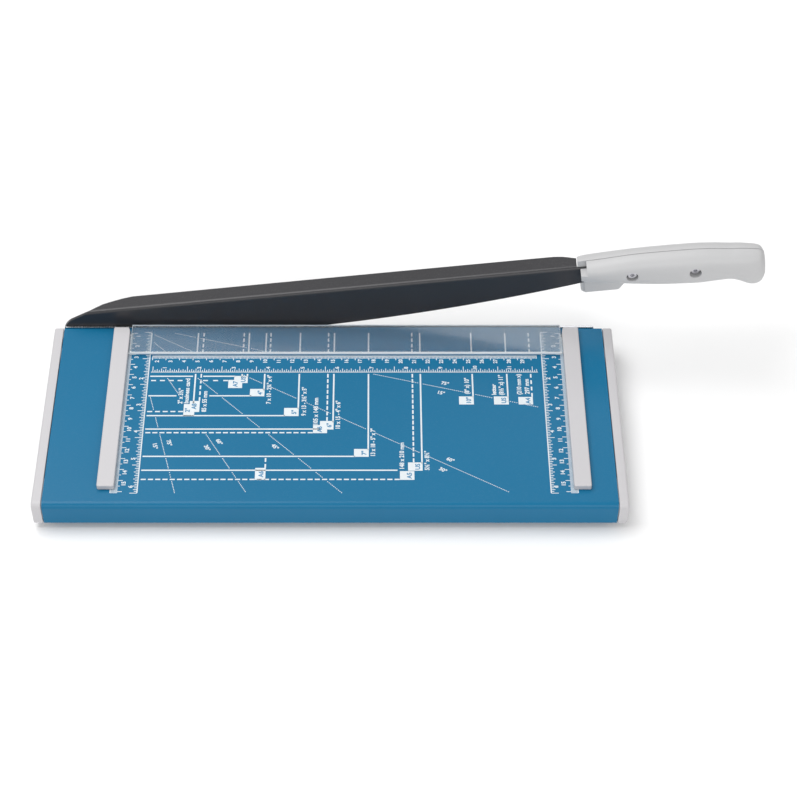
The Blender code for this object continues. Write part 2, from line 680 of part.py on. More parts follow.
# Lower blade
def lower_blade(base):
    left = TABLE_LEFT + LOWER_BLADE_MARGIN
    blade = boxes("lower_blade", [((left, -LOWER_BLADE_THICKNESS, TABLE_TOP - LOWER_BLADE_HEIGHT),
                                   (left + LOWER_BLADE_LENGTH, 0.0, TABLE_TOP))],
                  MATERIALS["ground_steel"], base)
    runs = [((PIVOT_X, -LOWER_BLADE_THICKNESS - CUT_OVERRUN, PIVOT_Z), (PIVOT_X, CUT_OVERRUN, PIVOT_Z),
             PIVOT_RADIUS + PIVOT_HOLE_PLAY)]
    for x, z in blade_screw_places():
        runs.append(((x, -LOWER_BLADE_THICKNESS - CUT_OVERRUN, z), (x, CUT_OVERRUN, z),
                     BLADE_SCREW_RADIUS + SCREW_PLAY))
    boolean(blade, rods("lower_blade_holes", runs, None, base))

    bm = bmesh.new()
    for x, z in blade_screw_places():
        cone = bmesh.ops.create_cone(bm, cap_ends=True, segments=SMALL_SEGMENTS,
                                     radius1=BLADE_SCREW_RADIUS + SCREW_PLAY,
                                     radius2=BLADE_SCREW_HEAD + SCREW_PLAY + CUT_OVERRUN,
                                     depth=BLADE_SCREW_HEAD - BLADE_SCREW_RADIUS + CUT_OVERRUN)["verts"]
        middle = (CUT_OVERRUN - (BLADE_SCREW_HEAD - BLADE_SCREW_RADIUS)) / 2
        # The cone's wide end points back, along Y
        stand = Matrix.Translation((x, middle, z)) @ Matrix.Rotation(math.radians(-90), 4, "X")
        bmesh.ops.transform(bm, matrix=stand, verts=cone)
    boolean(blade, place(mesh_from(bm, "lower_blade_sinks"), "lower_blade_sinks", None, base))
    return blade


def blade_screws_and_nuts(base):
    nut_rear = FLANGE_INNER - SEAT_GAP
    tip = nut_rear - BLADE_NUT_THICKNESS - BLADE_SCREW_RADIUS / 2
    face = -BLADE_SCREW_SINK
    cone = BLADE_SCREW_HEAD - BLADE_SCREW_RADIUS
    profile = [(0.0, face), (BLADE_SCREW_HEAD, face), (BLADE_SCREW_HEAD, face - BLADE_SCREW_RIM),
               (BLADE_SCREW_RADIUS, face - BLADE_SCREW_RIM - cone), (BLADE_SCREW_RADIUS, tip), (0.0, tip)]
    for number, (x, z) in enumerate(blade_screw_places(), 1):
        screw = turned("lower_blade_screw_%d" % number, profile, MATERIALS["zinc_steel"], base, SMALL_SEGMENTS)
        screw.rotation_euler = (math.radians(-90), 0.0, 0.0)
        screw.location = (x, 0.0, z)
        nut = hex_nut("lower_blade_nut_%d" % number, BLADE_NUT_FLATS, BLADE_NUT_THICKNESS,
                      BLADE_SCREW_RADIUS + SCREW_PLAY, MATERIALS["zinc_steel"], base)
        nut.rotation_euler = (math.radians(90), 0.0, 0.0)
        nut.location = (x, nut_rear, z)


# Fences
def fence(name, side, base):
    """The left fence where side is -1, or the right one where it is 1. Its inner
    rear corner is eased, and a slot under its roof takes the clamp's tab."""
    inner = 0.0 if side < 0 else FENCE_GAP
    outer = inner + side * FENCE_WIDTH
    front = -(FENCE_SETBACK + FENCE_LENGTH)
    r = FENCE_CORNER
    outline = []
    for x, y, turn, reach in ((outer, front, 180, (r, r)), (inner, front, 270, (r, r)),
                              (inner, -FENCE_SETBACK, 0, (FENCE_LEAD_WIDTH, FENCE_LEAD_LENGTH)),
                              (outer, -FENCE_SETBACK, 90, (r, r))):
        centre = (x + side * reach[0] if x == inner else x - side * reach[0],
                  y + reach[1] if y == front else y - reach[1])
        for across, along in arc((0.0, 0.0), 1.0, turn, turn + 90):
            outline.append((centre[0] - side * across * reach[0], centre[1] + along * reach[1]))
    mesh = flat_outline(name, outline, FENCE_HEIGHT)
    mesh.transform(Matrix.Translation((0.0, 0.0, FENCE_BOTTOM + FENCE_HEIGHT / 2)))
    bm = bmesh.new()
    bm.from_mesh(mesh)
    top = FENCE_BOTTOM + FENCE_HEIGHT
    rim = [e for e in bm.edges if all(abs(v.co.z - top) < SEAT_GAP for v in e.verts)
           and sum(abs(f.normal.z) > 0.5 for f in e.link_faces) == 1]
    bmesh.ops.bevel(bm, geom=rim, offset=FENCE_EDGE, segments=FENCE_EDGE_SEGMENTS, affect="EDGES", profile=0.5,
                    clamp_overlap=True)
    bm.to_mesh(mesh)
    bm.free()
    bar = place(mesh, name, MATERIALS["light_grey_plastic"], base)

    ends = (inner - side * CUT_OVERRUN, inner + side * (CLAMP_TAB_REACH + SEAT_GAP))
    slot = boxes(name + "_slot", [((min(ends), CLAMP_FRONT - SEAT_GAP, TABLE_TOP),
                                   (max(ends), -CLAMP_TAB_SETBACK + SEAT_GAP, top - FENCE_ROOF))], None, base)
    boolean(bar, slot)
    x = inner + side * FENCE_WIDTH / 2
    runs = [((x, y, TABLE_TOP), (x, y, FENCE_BOTTOM + FENCE_SCREW_BITE + SCREW_PLAY),
             FENCE_SCREW_RADIUS + SCREW_PLAY) for y in (FENCE_REAR_SCREW_Y, FENCE_FRONT_SCREW_Y)]
    boolean(bar, rods(name + "_holes", runs, None, base))
    return bar


def fence_screws(base):
    names = ("left_rear", "left_front", "right_rear", "right_front")
    for name, (x, y, seat) in zip(names, fence_screw_places()):
        screw = pan_screw("fence_screw_" + name, FENCE_SCREW_RADIUS, FENCE_SCREW_HEAD, FENCE_SCREW_HEAD_HEIGHT,
                          FENCE_BOTTOM + FENCE_SCREW_BITE - seat, MATERIALS["zinc_steel"], base)
        screw.location = (x, y, seat)


# Clamp
def clamp_plate(lift):
    """The clear plate with a thinner tab at each end, in the lift's frame, whose
    origin is the middle of the plate's underside."""
    half = (CLAMP_RIGHT - CLAMP_LEFT) / 2
    plate = boxes("clamp_plate", [((-half, -CLAMP_DEPTH / 2, 0.0), (half, CLAMP_DEPTH / 2, CLAMP_THICKNESS))],
                  MATERIALS["clear_plastic"], lift)
    edge = plate.modifiers.new("edges", "BEVEL")
    edge.width = CLAMP_EDGE
    edge.segments = 2
    edge.limit_method = "ANGLE"
    reach = FENCE_GAP / 2 + CLAMP_TAB_REACH
    rear = -CLAMP_TAB_SETBACK - CLAMP_CENTRE_Y
    front = -CLAMP_DEPTH / 2 + CLAMP_EDGE
    tabs = boxes("clamp_tabs", [((-reach, front, 0.0), (reach, rear, CLAMP_TAB_THICKNESS))], None, lift)
    boolean(plate, tabs, "UNION")
    bores = [((x, y, -CUT_OVERRUN), (x, y, CLAMP_TAB_THICKNESS - CLAMP_TAB_SKIN), STOP_SCREW_RADIUS + SCREW_PLAY)
             for x, y in post_places_on_lift()]
    boolean(plate, rods("clamp_bores", bores, None, lift))
    return plate


def post_places_on_lift():
    half = (FENCE_GAP + FENCE_WIDTH) / 2
    return ((-half, CLAMP_POST_Y - CLAMP_CENTRE_Y), (half, CLAMP_POST_Y - CLAMP_CENTRE_Y))


def clamp_posts_and_stops(lift):
    """At each end, under the fence: a sleeve through the sheet, a stop washer
    below the sheet and the screw that holds both to the plate's tab."""
    foot = SHEET_UNDER - CLAMP_BOTTOM
    seat = STOP_BOTTOM - SEAT_GAP - CLAMP_BOTTOM
    length = CLAMP_TAB_THICKNESS - CLAMP_TAB_SKIN - SCREW_PLAY - seat
    bore = STOP_SCREW_RADIUS + SCREW_PLAY
    for name, (x, y) in zip(("left", "right"), post_places_on_lift()):
        sleeve = [(bore, -SEAT_GAP), (CLAMP_POST_RADIUS, -SEAT_GAP), (CLAMP_POST_RADIUS, foot), (bore, foot)]
        post = turned("clamp_post_" + name, sleeve, MATERIALS["zinc_steel"], lift, SMALL_SEGMENTS)
        post.location = (x, y, 0.0)
        ring = washer("clamp_stop_washer_" + name, STOP_WASHER_RADIUS, bore, STOP_WASHER_THICKNESS,
                      MATERIALS["zinc_steel"], lift)
        ring.location = (x, y, STOP_BOTTOM - CLAMP_BOTTOM)
        screw = pan_screw("clamp_stop_screw_" + name, STOP_SCREW_RADIUS, STOP_SCREW_HEAD, STOP_SCREW_HEAD_HEIGHT,
                          length, MATERIALS["zinc_steel"], lift)
        screw.location = (x, y, seat)


def clamp_guide(name, x, base):
    """A moulded housing under the sheet: a plate held by the rear fence screw,
    with a cup for the spring."""
    half = GUIDE_PLATE_WIDTH / 2
    front = CLAMP_POST_Y - GUIDE_CUP_INNER - GUIDE_CUP_WALL
    rear = FENCE_REAR_SCREW_Y + GUIDE_PLATE_END
    guide = boxes(name, [((x - half, front, GUIDE_PLATE_BOTTOM), (x + half, rear, GUIDE_TOP))],
                  MATERIALS["black_plastic"], base)
    cup = rods(name + "_cup", [((x, CLAMP_POST_Y, GUIDE_CUP_BOTTOM),
                                (x, CLAMP_POST_Y, GUIDE_TOP - GUIDE_PLATE_THICKNESS / 2),
                                GUIDE_CUP_INNER + GUIDE_CUP_WALL)], None, base, ROUND_SEGMENTS)
    boolean(guide, cup, "UNION")
    hollow = rods(name + "_hollow", [((x, CLAMP_POST_Y, SPRING_SEAT), (x, CLAMP_POST_Y, GUIDE_TOP + CUT_OVERRUN),
                                      GUIDE_CUP_INNER),
                                     ((x, FENCE_REAR_SCREW_Y, GUIDE_PLATE_BOTTOM - CUT_OVERRUN),
                                      (x, FENCE_REAR_SCREW_Y, GUIDE_TOP + CUT_OVERRUN),
                                      FENCE_SCREW_RADIUS + SCREW_PLAY)], None, base, ROUND_SEGMENTS)
    boolean(guide, hollow)
    return guide


def clamp_spring(name, x, base):
    """A compression spring between the cup's floor and the stop washer, whose
    least gap between two turns is printed in millimetres."""
    low = SPRING_SEAT + SEAT_GAP + SPRING_WIRE_RADIUS
    high = STOP_BOTTOM - SEAT_GAP - SPRING_WIRE_RADIUS
    count = SPRING_TURNS * SPRING_TURN_POINTS
    curve = bpy.data.curves.new(name, "CURVE")
    curve.dimensions = "3D"
    curve.bevel_depth = SPRING_WIRE_RADIUS
    curve.bevel_resolution = 1
    curve.use_fill_caps = True
    spline = curve.splines.new("POLY")
    spline.points.add(count)
    for i, point in enumerate(spline.points):
        angle = 2 * math.pi * i / SPRING_TURN_POINTS
        height = low + (high - low) * i / count
        point.co = (x + SPRING_COIL_RADIUS * math.cos(angle),
                    CLAMP_POST_Y + SPRING_COIL_RADIUS * math.sin(angle), height, 1.0)
    centres = [point.co.xyz for point in spline.points]
    apart = min((centres[i] - centres[j]).length for i in range(count + 1)
                for j in range(i + SPRING_TURN_POINTS // 2, count + 1))
    print(name, "least gap between turns:", round((apart - 2 * SPRING_WIRE_RADIUS) * 1000, 2), "mm")
    return place(to_mesh(curve, name), name, MATERIALS["spring_steel"], base)


# Pivot
def pivot_plate(base):
    """A plate welded inside the rear flange, which stiffens it round the pivot."""
    left, right = PIVOT_X - PIVOT_PLATE_LEFT, PIVOT_X + PIVOT_PLATE_RIGHT
    top = SHEET_UNDER - SEAT_GAP
    low = top - PIVOT_PLATE_HEIGHT
    r = PIVOT_PLATE_CORNER
    outline = (arc((left + r, low + r), r, 180, 270, 3) + arc((right - r, low + r), r, 270, 360, 3)
               + arc((right - r, top - r), r, 0, 90, 3) + arc((left + r, top - r), r, 90, 180, 3))
    middle = (PIVOT_PLATE_REAR + PIVOT_PLATE_FRONT) / 2
    mesh = upright(flat_outline("pivot_plate", outline, PIVOT_PLATE_THICKNESS), middle)
    plate = place(mesh, "pivot_plate", MATERIALS["zinc_steel"], base)
    hole = [((PIVOT_X, PIVOT_PLATE_FRONT - CUT_OVERRUN, PIVOT_Z),
             (PIVOT_X, PIVOT_PLATE_REAR + CUT_OVERRUN, PIVOT_Z), PIVOT_RADIUS + PIVOT_HOLE_PLAY)]
    boolean(plate, rods("pivot_plate_hole", hole, None, base))
    return plate


def pivot_bolt(base):
    """The bolt, its washers, the disc spring and the lock nut, on one axis."""
    head = PIVOT_HEAD_RADIUS
    seat = HEAD_WASHER_REAR + SEAT_GAP
    top = seat + PIVOT_HEAD_HEIGHT
    tip = PIVOT_NUT_FRONT - PIVOT_END
    profile = [(0.0, top), (head - PIVOT_HEAD_EDGE, top), (head, top - PIVOT_HEAD_EDGE), (head, seat),
               (PIVOT_RADIUS, seat), (PIVOT_RADIUS, tip + PIVOT_END / 2), (PIVOT_RADIUS - PIVOT_END / 2, tip),
               (0.0, tip)]
    bolt = turned("pivot_bolt", profile, MATERIALS["zinc_steel"], base)
    bolt.rotation_euler = (math.radians(-90), 0.0, 0.0)
    bolt.location = (PIVOT_X, 0.0, PIVOT_Z)
    bm = bmesh.new()
    add_rod(bm, (0.0, 0.0, top - PIVOT_SOCKET_DEPTH), (0.0, 0.0, top + CUT_OVERRUN), PIVOT_SOCKET_RADIUS, 6)
    boolean(bolt, place(mesh_from(bm, "pivot_bolt_socket"), "pivot_bolt_socket", None, bolt))

    bore = PIVOT_RADIUS + PIVOT_HOLE_PLAY
    nut_washer_rear = NUT_WASHER_FRONT + PIVOT_WASHER_THICKNESS
    for name, rear, radius in (("pivot_head_washer", HEAD_WASHER_REAR, HEAD_WASHER_RADIUS),
                               ("pivot_nut_washer", nut_washer_rear, NUT_WASHER_RADIUS)):
        ring = washer(name, radius, bore, PIVOT_WASHER_THICKNESS, MATERIALS["zinc_steel"], base)
        ring.rotation_euler = (math.radians(90), 0.0, 0.0)
        ring.location = (PIVOT_X, rear, PIVOT_Z)

    thick, rise = DISC_SPRING_THICKNESS, DISC_SPRING_RISE
    cone = [(bore, thick + rise), (DISC_SPRING_RADIUS, thick), (DISC_SPRING_RADIUS, 0.0), (bore, rise)]
    disc = turned("pivot_disc_spring", cone, MATERIALS["spring_steel"], base)
    disc.rotation_euler = (math.radians(90), 0.0, 0.0)
    disc.location = (PIVOT_X, PIVOT_PLATE_FRONT - SEAT_GAP, PIVOT_Z)

    nut = hex_nut("pivot_nut", PIVOT_NUT_FLATS, PIVOT_NUT_THICKNESS, bore, MATERIALS["zinc_steel"], base)
    nut.rotation_euler = (math.radians(90), 0.0, 0.0)
    nut.location = (PIVOT_X, NUT_WASHER_FRONT - SEAT_GAP, PIVOT_Z)
    return bolt


def pivot_bush(arm):
    """The arm's bearing: a neck through the arm's plate and a flange behind it."""
    bore = PIVOT_RADIUS + RUN_CLEARANCE
    flange_front = ARM_REAR + SEAT_GAP
    profile = [(bore, BUSH_REAR), (BUSH_FLANGE_RADIUS, BUSH_REAR), (BUSH_FLANGE_RADIUS, flange_front),
               (BUSH_NECK_RADIUS, flange_front), (BUSH_NECK_RADIUS, ARM_FRONT), (bore, ARM_FRONT)]
    bush = turned("pivot_bush", profile, MATERIALS["brass"], arm)
    bush.rotation_euler = (math.radians(-90), 0.0, 0.0)
    return bush


# Arm
def edge_height(x):
    """Height of the curved cutting edge at a place along the arm."""
    centre = ARM_EDGE_RADIUS - ARM_EDGE_LOW
    return centre - math.sqrt(ARM_EDGE_RADIUS ** 2 - (x - ARM_EDGE_LOW_AT) ** 2)


def arm_side_outline():
    """The arm seen from the front: nose, straight top, tang and curved edge."""
    nose = arc((0.0, 0.0), ARM_NOSE_RADIUS, 270, 180 - ARM_NOSE_SLOPE_DEG, 2 * ARC_STEPS)
    top = [(FLANGE_START, ARM_TOP), (FLANGE_RIGHT, ARM_TOP), (FLANGE_RIGHT, TANG_TOP),
           (TANG_RIGHT - TANG_CORNER, TANG_TOP), (TANG_RIGHT, TANG_TOP - TANG_CORNER),
           (TANG_RIGHT, TANG_BOTTOM + TANG_CORNER), (TANG_RIGHT - TANG_CORNER, TANG_BOTTOM),
           (ARM_BLADE_END, TANG_BOTTOM)]
    edge = []
    for i in range(ARM_EDGE_STEPS + 1):
        x = ARM_BLADE_END + (ARM_BLADE_START - ARM_BLADE_END) * i / ARM_EDGE_STEPS
        edge.append((x, edge_height(x)))
    return nose + top + edge


def arm_section():
    """The angle section across the arm, as Y and Z, long enough for any cut."""
    front, rear, top = ARM_FRONT, ARM_REAR, ARM_TOP
    low = -(ARM_NOSE_RADIUS + ARM_EDGE_LOW)
    back = front + FLANGE_DEPTH
    outer = arc((front + ARM_BEND_RADIUS, top - ARM_BEND_RADIUS), ARM_BEND_RADIUS, 180, 90)
    inner = arc((rear + ARM_INNER_RADIUS, top - ARM_THICKNESS - ARM_INNER_RADIUS), ARM_INNER_RADIUS, 90, 180, 2)
    return [(front, low)] + outer + [(back, top), (back, top - ARM_THICKNESS)] + inner + [(rear, low)]


def arm_plan_outline():
    """The arm seen from above: the flange narrows towards both of its ends."""
    front = ARM_FRONT - CUT_OVERRUN
    tang_right = TANG_RIGHT + CUT_OVERRUN
    left = -(ARM_NOSE_RADIUS + CUT_OVERRUN)
    end = [(FLANGE_RIGHT - FLANGE_END_TAPER * along, ARM_FRONT + FLANGE_DEPTH * deep)
           for along, deep in FLANGE_END_SHARES]
    nose = [(FLANGE_START + FLANGE_NOSE_TAPER * along, ARM_FRONT + FLANGE_DEPTH * deep)
            for along, deep in FLANGE_NOSE_SHARES]
    return ([(left, front), (tang_right, front), (tang_right, ARM_REAR), (FLANGE_RIGHT, ARM_REAR)] + end + nose
            + [(FLANGE_START, ARM_REAR), (left, ARM_REAR)])


def arm_blade(arm):
    section = arm_section()
    length = TANG_RIGHT + CUT_OVERRUN + ARM_NOSE_RADIUS + CUT_OVERRUN
    mesh = flat_outline("arm", section, length)
    turn = Matrix(((0, 0, 1, 0), (1, 0, 0, 0), (0, 1, 0, 0), (0, 0, 0, 1)))
    middle = length / 2 - ARM_NOSE_RADIUS - CUT_OVERRUN
    mesh.transform(Matrix.Translation((middle, 0.0, 0.0)) @ turn)
    blade = place(mesh, "arm", MATERIALS["black_steel"], arm)

    reach = FLANGE_DEPTH + CUT_OVERRUN
    side = upright(flat_outline("arm_side", arm_side_outline(), 2 * reach), 0.0)
    boolean(blade, place(side, "arm_side", None, arm), "INTERSECT")
    plan = flat_outline("arm_plan", arm_plan_outline(), 2 * (ARM_TOP + ARM_NOSE_RADIUS + ARM_EDGE_LOW))
    boolean(blade, place(plan, "arm_plan", None, arm), "INTERSECT")

    runs = [((0.0, -reach, 0.0), (0.0, reach, 0.0), BUSH_NECK_RADIUS + SEAT_GAP)]
    for x, z in handle_screw_places():
        runs.append(((x, -reach, z), (x, reach, z), HANDLE_SCREW_RADIUS + SCREW_PLAY))
    boolean(blade, rods("arm_holes", runs, None, arm, ROUND_SEGMENTS))
    boolean(blade, edge_grind(arm))
    return blade


def edge_grind(arm):
    """The bevel behind the cutting edge: a wedge swept along the edge's arc."""
    centre = (ARM_EDGE_LOW_AT, 0.0, ARM_EDGE_RADIUS - ARM_EDGE_LOW)
    land = ARM_FRONT + ARM_EDGE_LAND
    slope = (ARM_REAR - land) / ARM_EDGE_GRIND
    back = ARM_REAR + CUT_OVERRUN
    start = math.asin((ARM_BLADE_START - CUT_OVERRUN - ARM_EDGE_LOW_AT) / ARM_EDGE_RADIUS)
    end = math.asin((ARM_BLADE_END + CUT_OVERRUN - ARM_EDGE_LOW_AT) / ARM_EDGE_RADIUS)
    wedge = [(land - slope * CUT_OVERRUN, -CUT_OVERRUN), (back, -CUT_OVERRUN),
             (back, ARM_EDGE_GRIND + CUT_OVERRUN / slope)]
    bm = bmesh.new()
    verts = [bm.verts.new((ARM_EDGE_LOW_AT, y, height - ARM_EDGE_LOW)) for y, height in wedge]
    face = bm.faces.new(verts)
    bmesh.ops.rotate(bm, verts=verts, cent=centre, matrix=Matrix.Rotation(-start, 3, "Y"))
    bmesh.ops.spin(bm, geom=[face], cent=centre, axis=(0.0, -1.0, 0.0), angle=end - start, steps=ARM_EDGE_STEPS)
    return place(mesh_from(bm, "arm_grind"), "arm_grind", None, arm)


# Handle
def handle_screw_places():
    return [(HANDLE_START + along, height) for along, height in zip(HANDLE_SCREW_PLACES, HANDLE_SCREW_HEIGHTS)]


def handle_size_at(share):
    """Centre height, half height and half width at a share of the handle's length."""
    rows = HANDLE_SHARES
    for i in range(len(rows) - 1):
        if share <= rows[i + 1][0]:
            break
    before = rows[max(i - 1, 0)]
    first, second = rows[i], rows[i + 1]
    after = rows[min(i + 2, len(rows) - 1)]
    t = (share - first[0]) / (second[0] - first[0])
    values = []
    for k in (1, 2, 3):
        run = second[0] - first[0]
        slope_in = (second[k] - before[k]) / max(second[0] - before[0], run) * run
        slope_out = (after[k] - first[k]) / max(after[0] - first[0], run) * run
        values.append((2 * t ** 3 - 3 * t ** 2 + 1) * first[k] + (t ** 3 - 2 * t ** 2 + t) * slope_in
                      + (-2 * t ** 3 + 3 * t ** 2) * second[k] + (t ** 3 - t ** 2) * slope_out)
    centre, half_height, half_width = values
    return HANDLE_AXIS + centre * HANDLE_HEIGHT, half_height * HANDLE_HEIGHT, half_width * HANDLE_WIDTH


def handle_body(name):
    """The whole handle as a loft of rounded sections that change along it."""
    bm = bmesh.new()
    rings = []
    for i in range(HANDLE_RINGS + 1):
        share = i / HANDLE_RINGS
        share -= HANDLE_CROWDING_SHARE * math.sin(2 * math.pi * share)
        centre, half_height, half_width = handle_size_at(share)
        ring = []
        for j in range(HANDLE_RING_POINTS):
            angle = 2 * math.pi * (j + 0.5) / HANDLE_RING_POINTS
            c, s = math.cos(angle), math.sin(angle)
            power = 2 / HANDLE_SQUARENESS
            y = math.copysign(abs(c) ** power, c) * half_width
            if y > 0:
                y *= HANDLE_REAR_SHARE
            z = math.copysign(abs(s) ** power, s) * half_height
            ring.append(bm.verts.new((HANDLE_START + share * HANDLE_LENGTH, ARM_MIDDLE + y, centre + z)))
        rings.append(ring)
    for one, two in zip(rings, rings[1:]):
        for j in range(HANDLE_RING_POINTS):
            k = (j + 1) % HANDLE_RING_POINTS
            bm.faces.new((one[j], one[k], two[k], two[j]))
    bm.faces.new(rings[0])
    bm.faces.new(rings[-1][::-1])
    return mesh_from(bm, name)


def tang_pockets(name, arm):
    """The room for the tang and for the blade's end, with a seat gap all round."""
    left = HANDLE_START - CUT_OVERRUN
    front = ARM_FRONT - SEAT_GAP
    rear = ARM_REAR + SEAT_GAP
    tang = boxes(name + "_tang_pocket", [((left, front, TANG_BOTTOM - SEAT_GAP),
                                          (TANG_RIGHT + SEAT_GAP, rear, TANG_TOP + SEAT_GAP))],
                 None, arm)
    blade = boxes(name + "_blade_pocket", [((left, front, -ARM_NOSE_RADIUS),
                                            (ARM_BLADE_END + SEAT_GAP, rear, TANG_TOP))], None, arm)
    return tang, blade


def guard_outline():
    """The finger guard below the rear half, from the front: a rounded tongue."""
    left = HANDLE_START + HANDLE_FRONT_STEP / 2
    right = left + GUARD_LENGTH
    low = -GUARD_BELOW
    radius = GUARD_DEPTH / 2
    return ([(right, HANDLE_AXIS), (left, HANDLE_AXIS)] + arc((left + radius, low + radius), radius, 180, 270)
            + arc((right - 2 * radius, low + radius), radius, 270, 320) + [(right, 0.0)])


def handle_half(name, side, arm):
    """The front half where side is -1, or the rear half where it is 1."""
    half = place(handle_body(name), name, MATERIALS["handle_plastic"], arm)
    reach = HANDLE_WIDTH
    left = HANDLE_START - CUT_OVERRUN
    if side < 0:
        left = HANDLE_START + HANDLE_FRONT_STEP
    seam = ARM_MIDDLE + side * SEAT_GAP / 2
    far = ARM_MIDDLE + side * reach
    keep = boxes(name + "_side", [((left, min(seam, far), HANDLE_AXIS - reach),
                                   (HANDLE_END + CUT_OVERRUN, max(seam, far), HANDLE_AXIS + reach))], None, arm)
    if side > 0:
        guard = upright(flat_outline(name + "_guard", guard_outline(), GUARD_DEPTH), seam + GUARD_DEPTH / 2)
        tongue = place(guard, name + "_guard", None, arm)
        rounding = tongue.modifiers.new("edges", "BEVEL")
        rounding.width = GUARD_EDGE
        rounding.segments = 2
        rounding.limit_method = "ANGLE"
        rounding.angle_limit = math.radians(60)
        boolean(half, tongue, "UNION")
    boolean(half, keep, "INTERSECT")

    for pocket in tang_pockets(name, arm):
        boolean(half, pocket)
    if side < 0:
        low = (HANDLE_START - CUT_OVERRUN, ARM_FRONT - HANDLE_WIDTH, TANG_TOP - SEAT_GAP)
        high = (HANDLE_START + HANDLE_NOTCH, ARM_REAR, HANDLE_AXIS + reach)
        boolean(half, boxes(name + "_notch", [(low, high)], None, arm))

    runs = []
    for x, z in handle_screw_places():
        runs.append(((x, ARM_MIDDLE - reach, z), (x, ARM_MIDDLE + reach, z), HANDLE_SCREW_RADIUS + SCREW_PLAY))
    boolean(half, rods(name + "_bores", runs, None, arm))
    floor = HANDLE_RECESS_FLOOR if side < 0 else HANDLE_NUT_FLOOR
    recess = [((x, ARM_MIDDLE + side * floor, z), (x, ARM_MIDDLE + side * reach, z), HANDLE_RECESS_RADIUS)
              for x, z in handle_screw_places()]
    boolean(half, rods(name + "_recesses", recess, None, arm))
    return half


def handle_screws(arm):
    seat = ARM_MIDDLE - HANDLE_RECESS_FLOOR - SEAT_GAP
    nut_front = ARM_MIDDLE + HANDLE_NUT_FLOOR + SEAT_GAP
    tip = nut_front + HANDLE_NUT_THICKNESS
    head, height = HANDLE_SCREW_HEAD, HANDLE_SCREW_HEAD_HEIGHT
    profile = [(0.0, tip), (HANDLE_SCREW_RADIUS, tip), (HANDLE_SCREW_RADIUS, seat), (head, seat),
               (head, seat - height * HANDLE_HEAD_RIM_SHARE), (head * HANDLE_HEAD_TOP_SHARE, seat - height),
               (0.0, seat - height)]
    for number, (x, z) in enumerate(handle_screw_places(), 1):
        screw = turned("handle_screw_%d" % number, profile, MATERIALS["zinc_steel"], arm)
        screw.rotation_euler = (math.radians(-90), 0.0, 0.0)
        screw.location = (x, 0.0, z)
        bm = bmesh.new()
        add_rod(bm, (0.0, 0.0, seat - height - CUT_OVERRUN), (0.0, 0.0, seat - height + HANDLE_SOCKET_DEPTH),
                HANDLE_SOCKET_RADIUS, 6)
        socket = place(mesh_from(bm, "handle_socket_%d" % number), "handle_socket_%d" % number, None, screw)
        boolean(screw, socket)
        nut = hex_nut("handle_nut_%d" % number, HANDLE_NUT_FLATS, HANDLE_NUT_THICKNESS,
                      HANDLE_SCREW_RADIUS + SCREW_PLAY, MATERIALS["zinc_steel"], arm)
        nut.rotation_euler = (math.radians(-90), 0.0, 0.0)
        nut.location = (x, nut_front, z)


def centre_on_desk(root):
    """Put the origin under the middle of the whole machine, on the desk."""
    bpy.context.view_layer.update()
    graph = bpy.context.evaluated_depsgraph_get()
    points = []
    for obj in PARTS.objects:
        if obj.type == "MESH":
            seen = obj.evaluated_get(graph)
            points.extend(seen.matrix_world @ vert.co for vert in seen.data.vertices)
    low = [min(point[axis] for point in points) for axis in range(3)]
    high = [max(point[axis] for point in points) for axis in range(3)]
    root.location = (-(low[0] + high[0]) / 2, -(low[1] + high[1]) / 2, -low[2])
    bpy.context.view_layer.update()


def build():
    root = empty("paper_cutter_origin", (0.0, 0.0, 0.0))
    table(root)
    end_cap("left_end_cap", -1, root)
    end_cap("right_end_cap", 1, root)
    cap_screws(root)
    feet(root)
    lower_blade(root)
    blade_screws_and_nuts(root)
    fence("left_fence", -1, root)
    fence("right_fence", 1, root)
    fence_screws(root)

    lift = empty("clamp_lift", ((CLAMP_LEFT + CLAMP_RIGHT) / 2, CLAMP_CENTRE_Y, CLAMP_BOTTOM), root)
    clamp_plate(lift)
    clamp_posts_and_stops(lift)
    for name, x in zip(("left", "right"), FENCE_LINES):
        clamp_guide("clamp_guide_" + name, x, root)
        clamp_spring("clamp_spring_" + name, x, root)

    pivot_plate(root)
    pivot_bolt(root)
    arm = empty("arm_pivot", (PIVOT_X, 0.0, PIVOT_Z), root)
    arm.rotation_euler = (0.0, math.radians(-ARM_OPEN_DEG), 0.0)
    pivot_bush(arm)
    arm_blade(arm)
    handle_half("handle_front_half", -1, arm)
    handle_half("handle_rear_half", 1, arm)
    handle_screws(arm)
    centre_on_desk(root)


clear_scene()
PARTS = new_collection("paper_cutter")
CUTTERS = new_collection("cutters")
MATERIALS = {
    "blue_paint": principled("blue_paint", BLUE, 0.42, 0.0),
    "light_grey_plastic": principled("light_grey_plastic", LIGHT_GREY, 0.45, 0.0),
    "handle_plastic": principled("handle_plastic", HANDLE_GREY, 0.5, 0.0),
    "black_steel": principled("black_steel", BLACK_STEEL, 0.38, 0.3),
    "ground_steel": principled("ground_steel", BARE_STEEL, 0.3, 1.0),
    "zinc_steel": principled("zinc_steel", ZINC, 0.35, 1.0),
    "spring_steel": principled("spring_steel", BARE_STEEL, 0.3, 1.0),
    "clear_plastic": principled("clear_plastic", CLEAR_PLASTIC, 0.1, 0.0, 0.35),
    "black_plastic": principled("black_plastic", BLACK_PLASTIC, 0.5, 0.0),
    "rubber": principled("rubber", RUBBER, 0.8, 0.0),
    "brass": principled("brass", BRASS, 0.35, 1.0),
}
build()
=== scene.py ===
import math

import bmesh
import bpy
from mathutils import Matrix, Vector


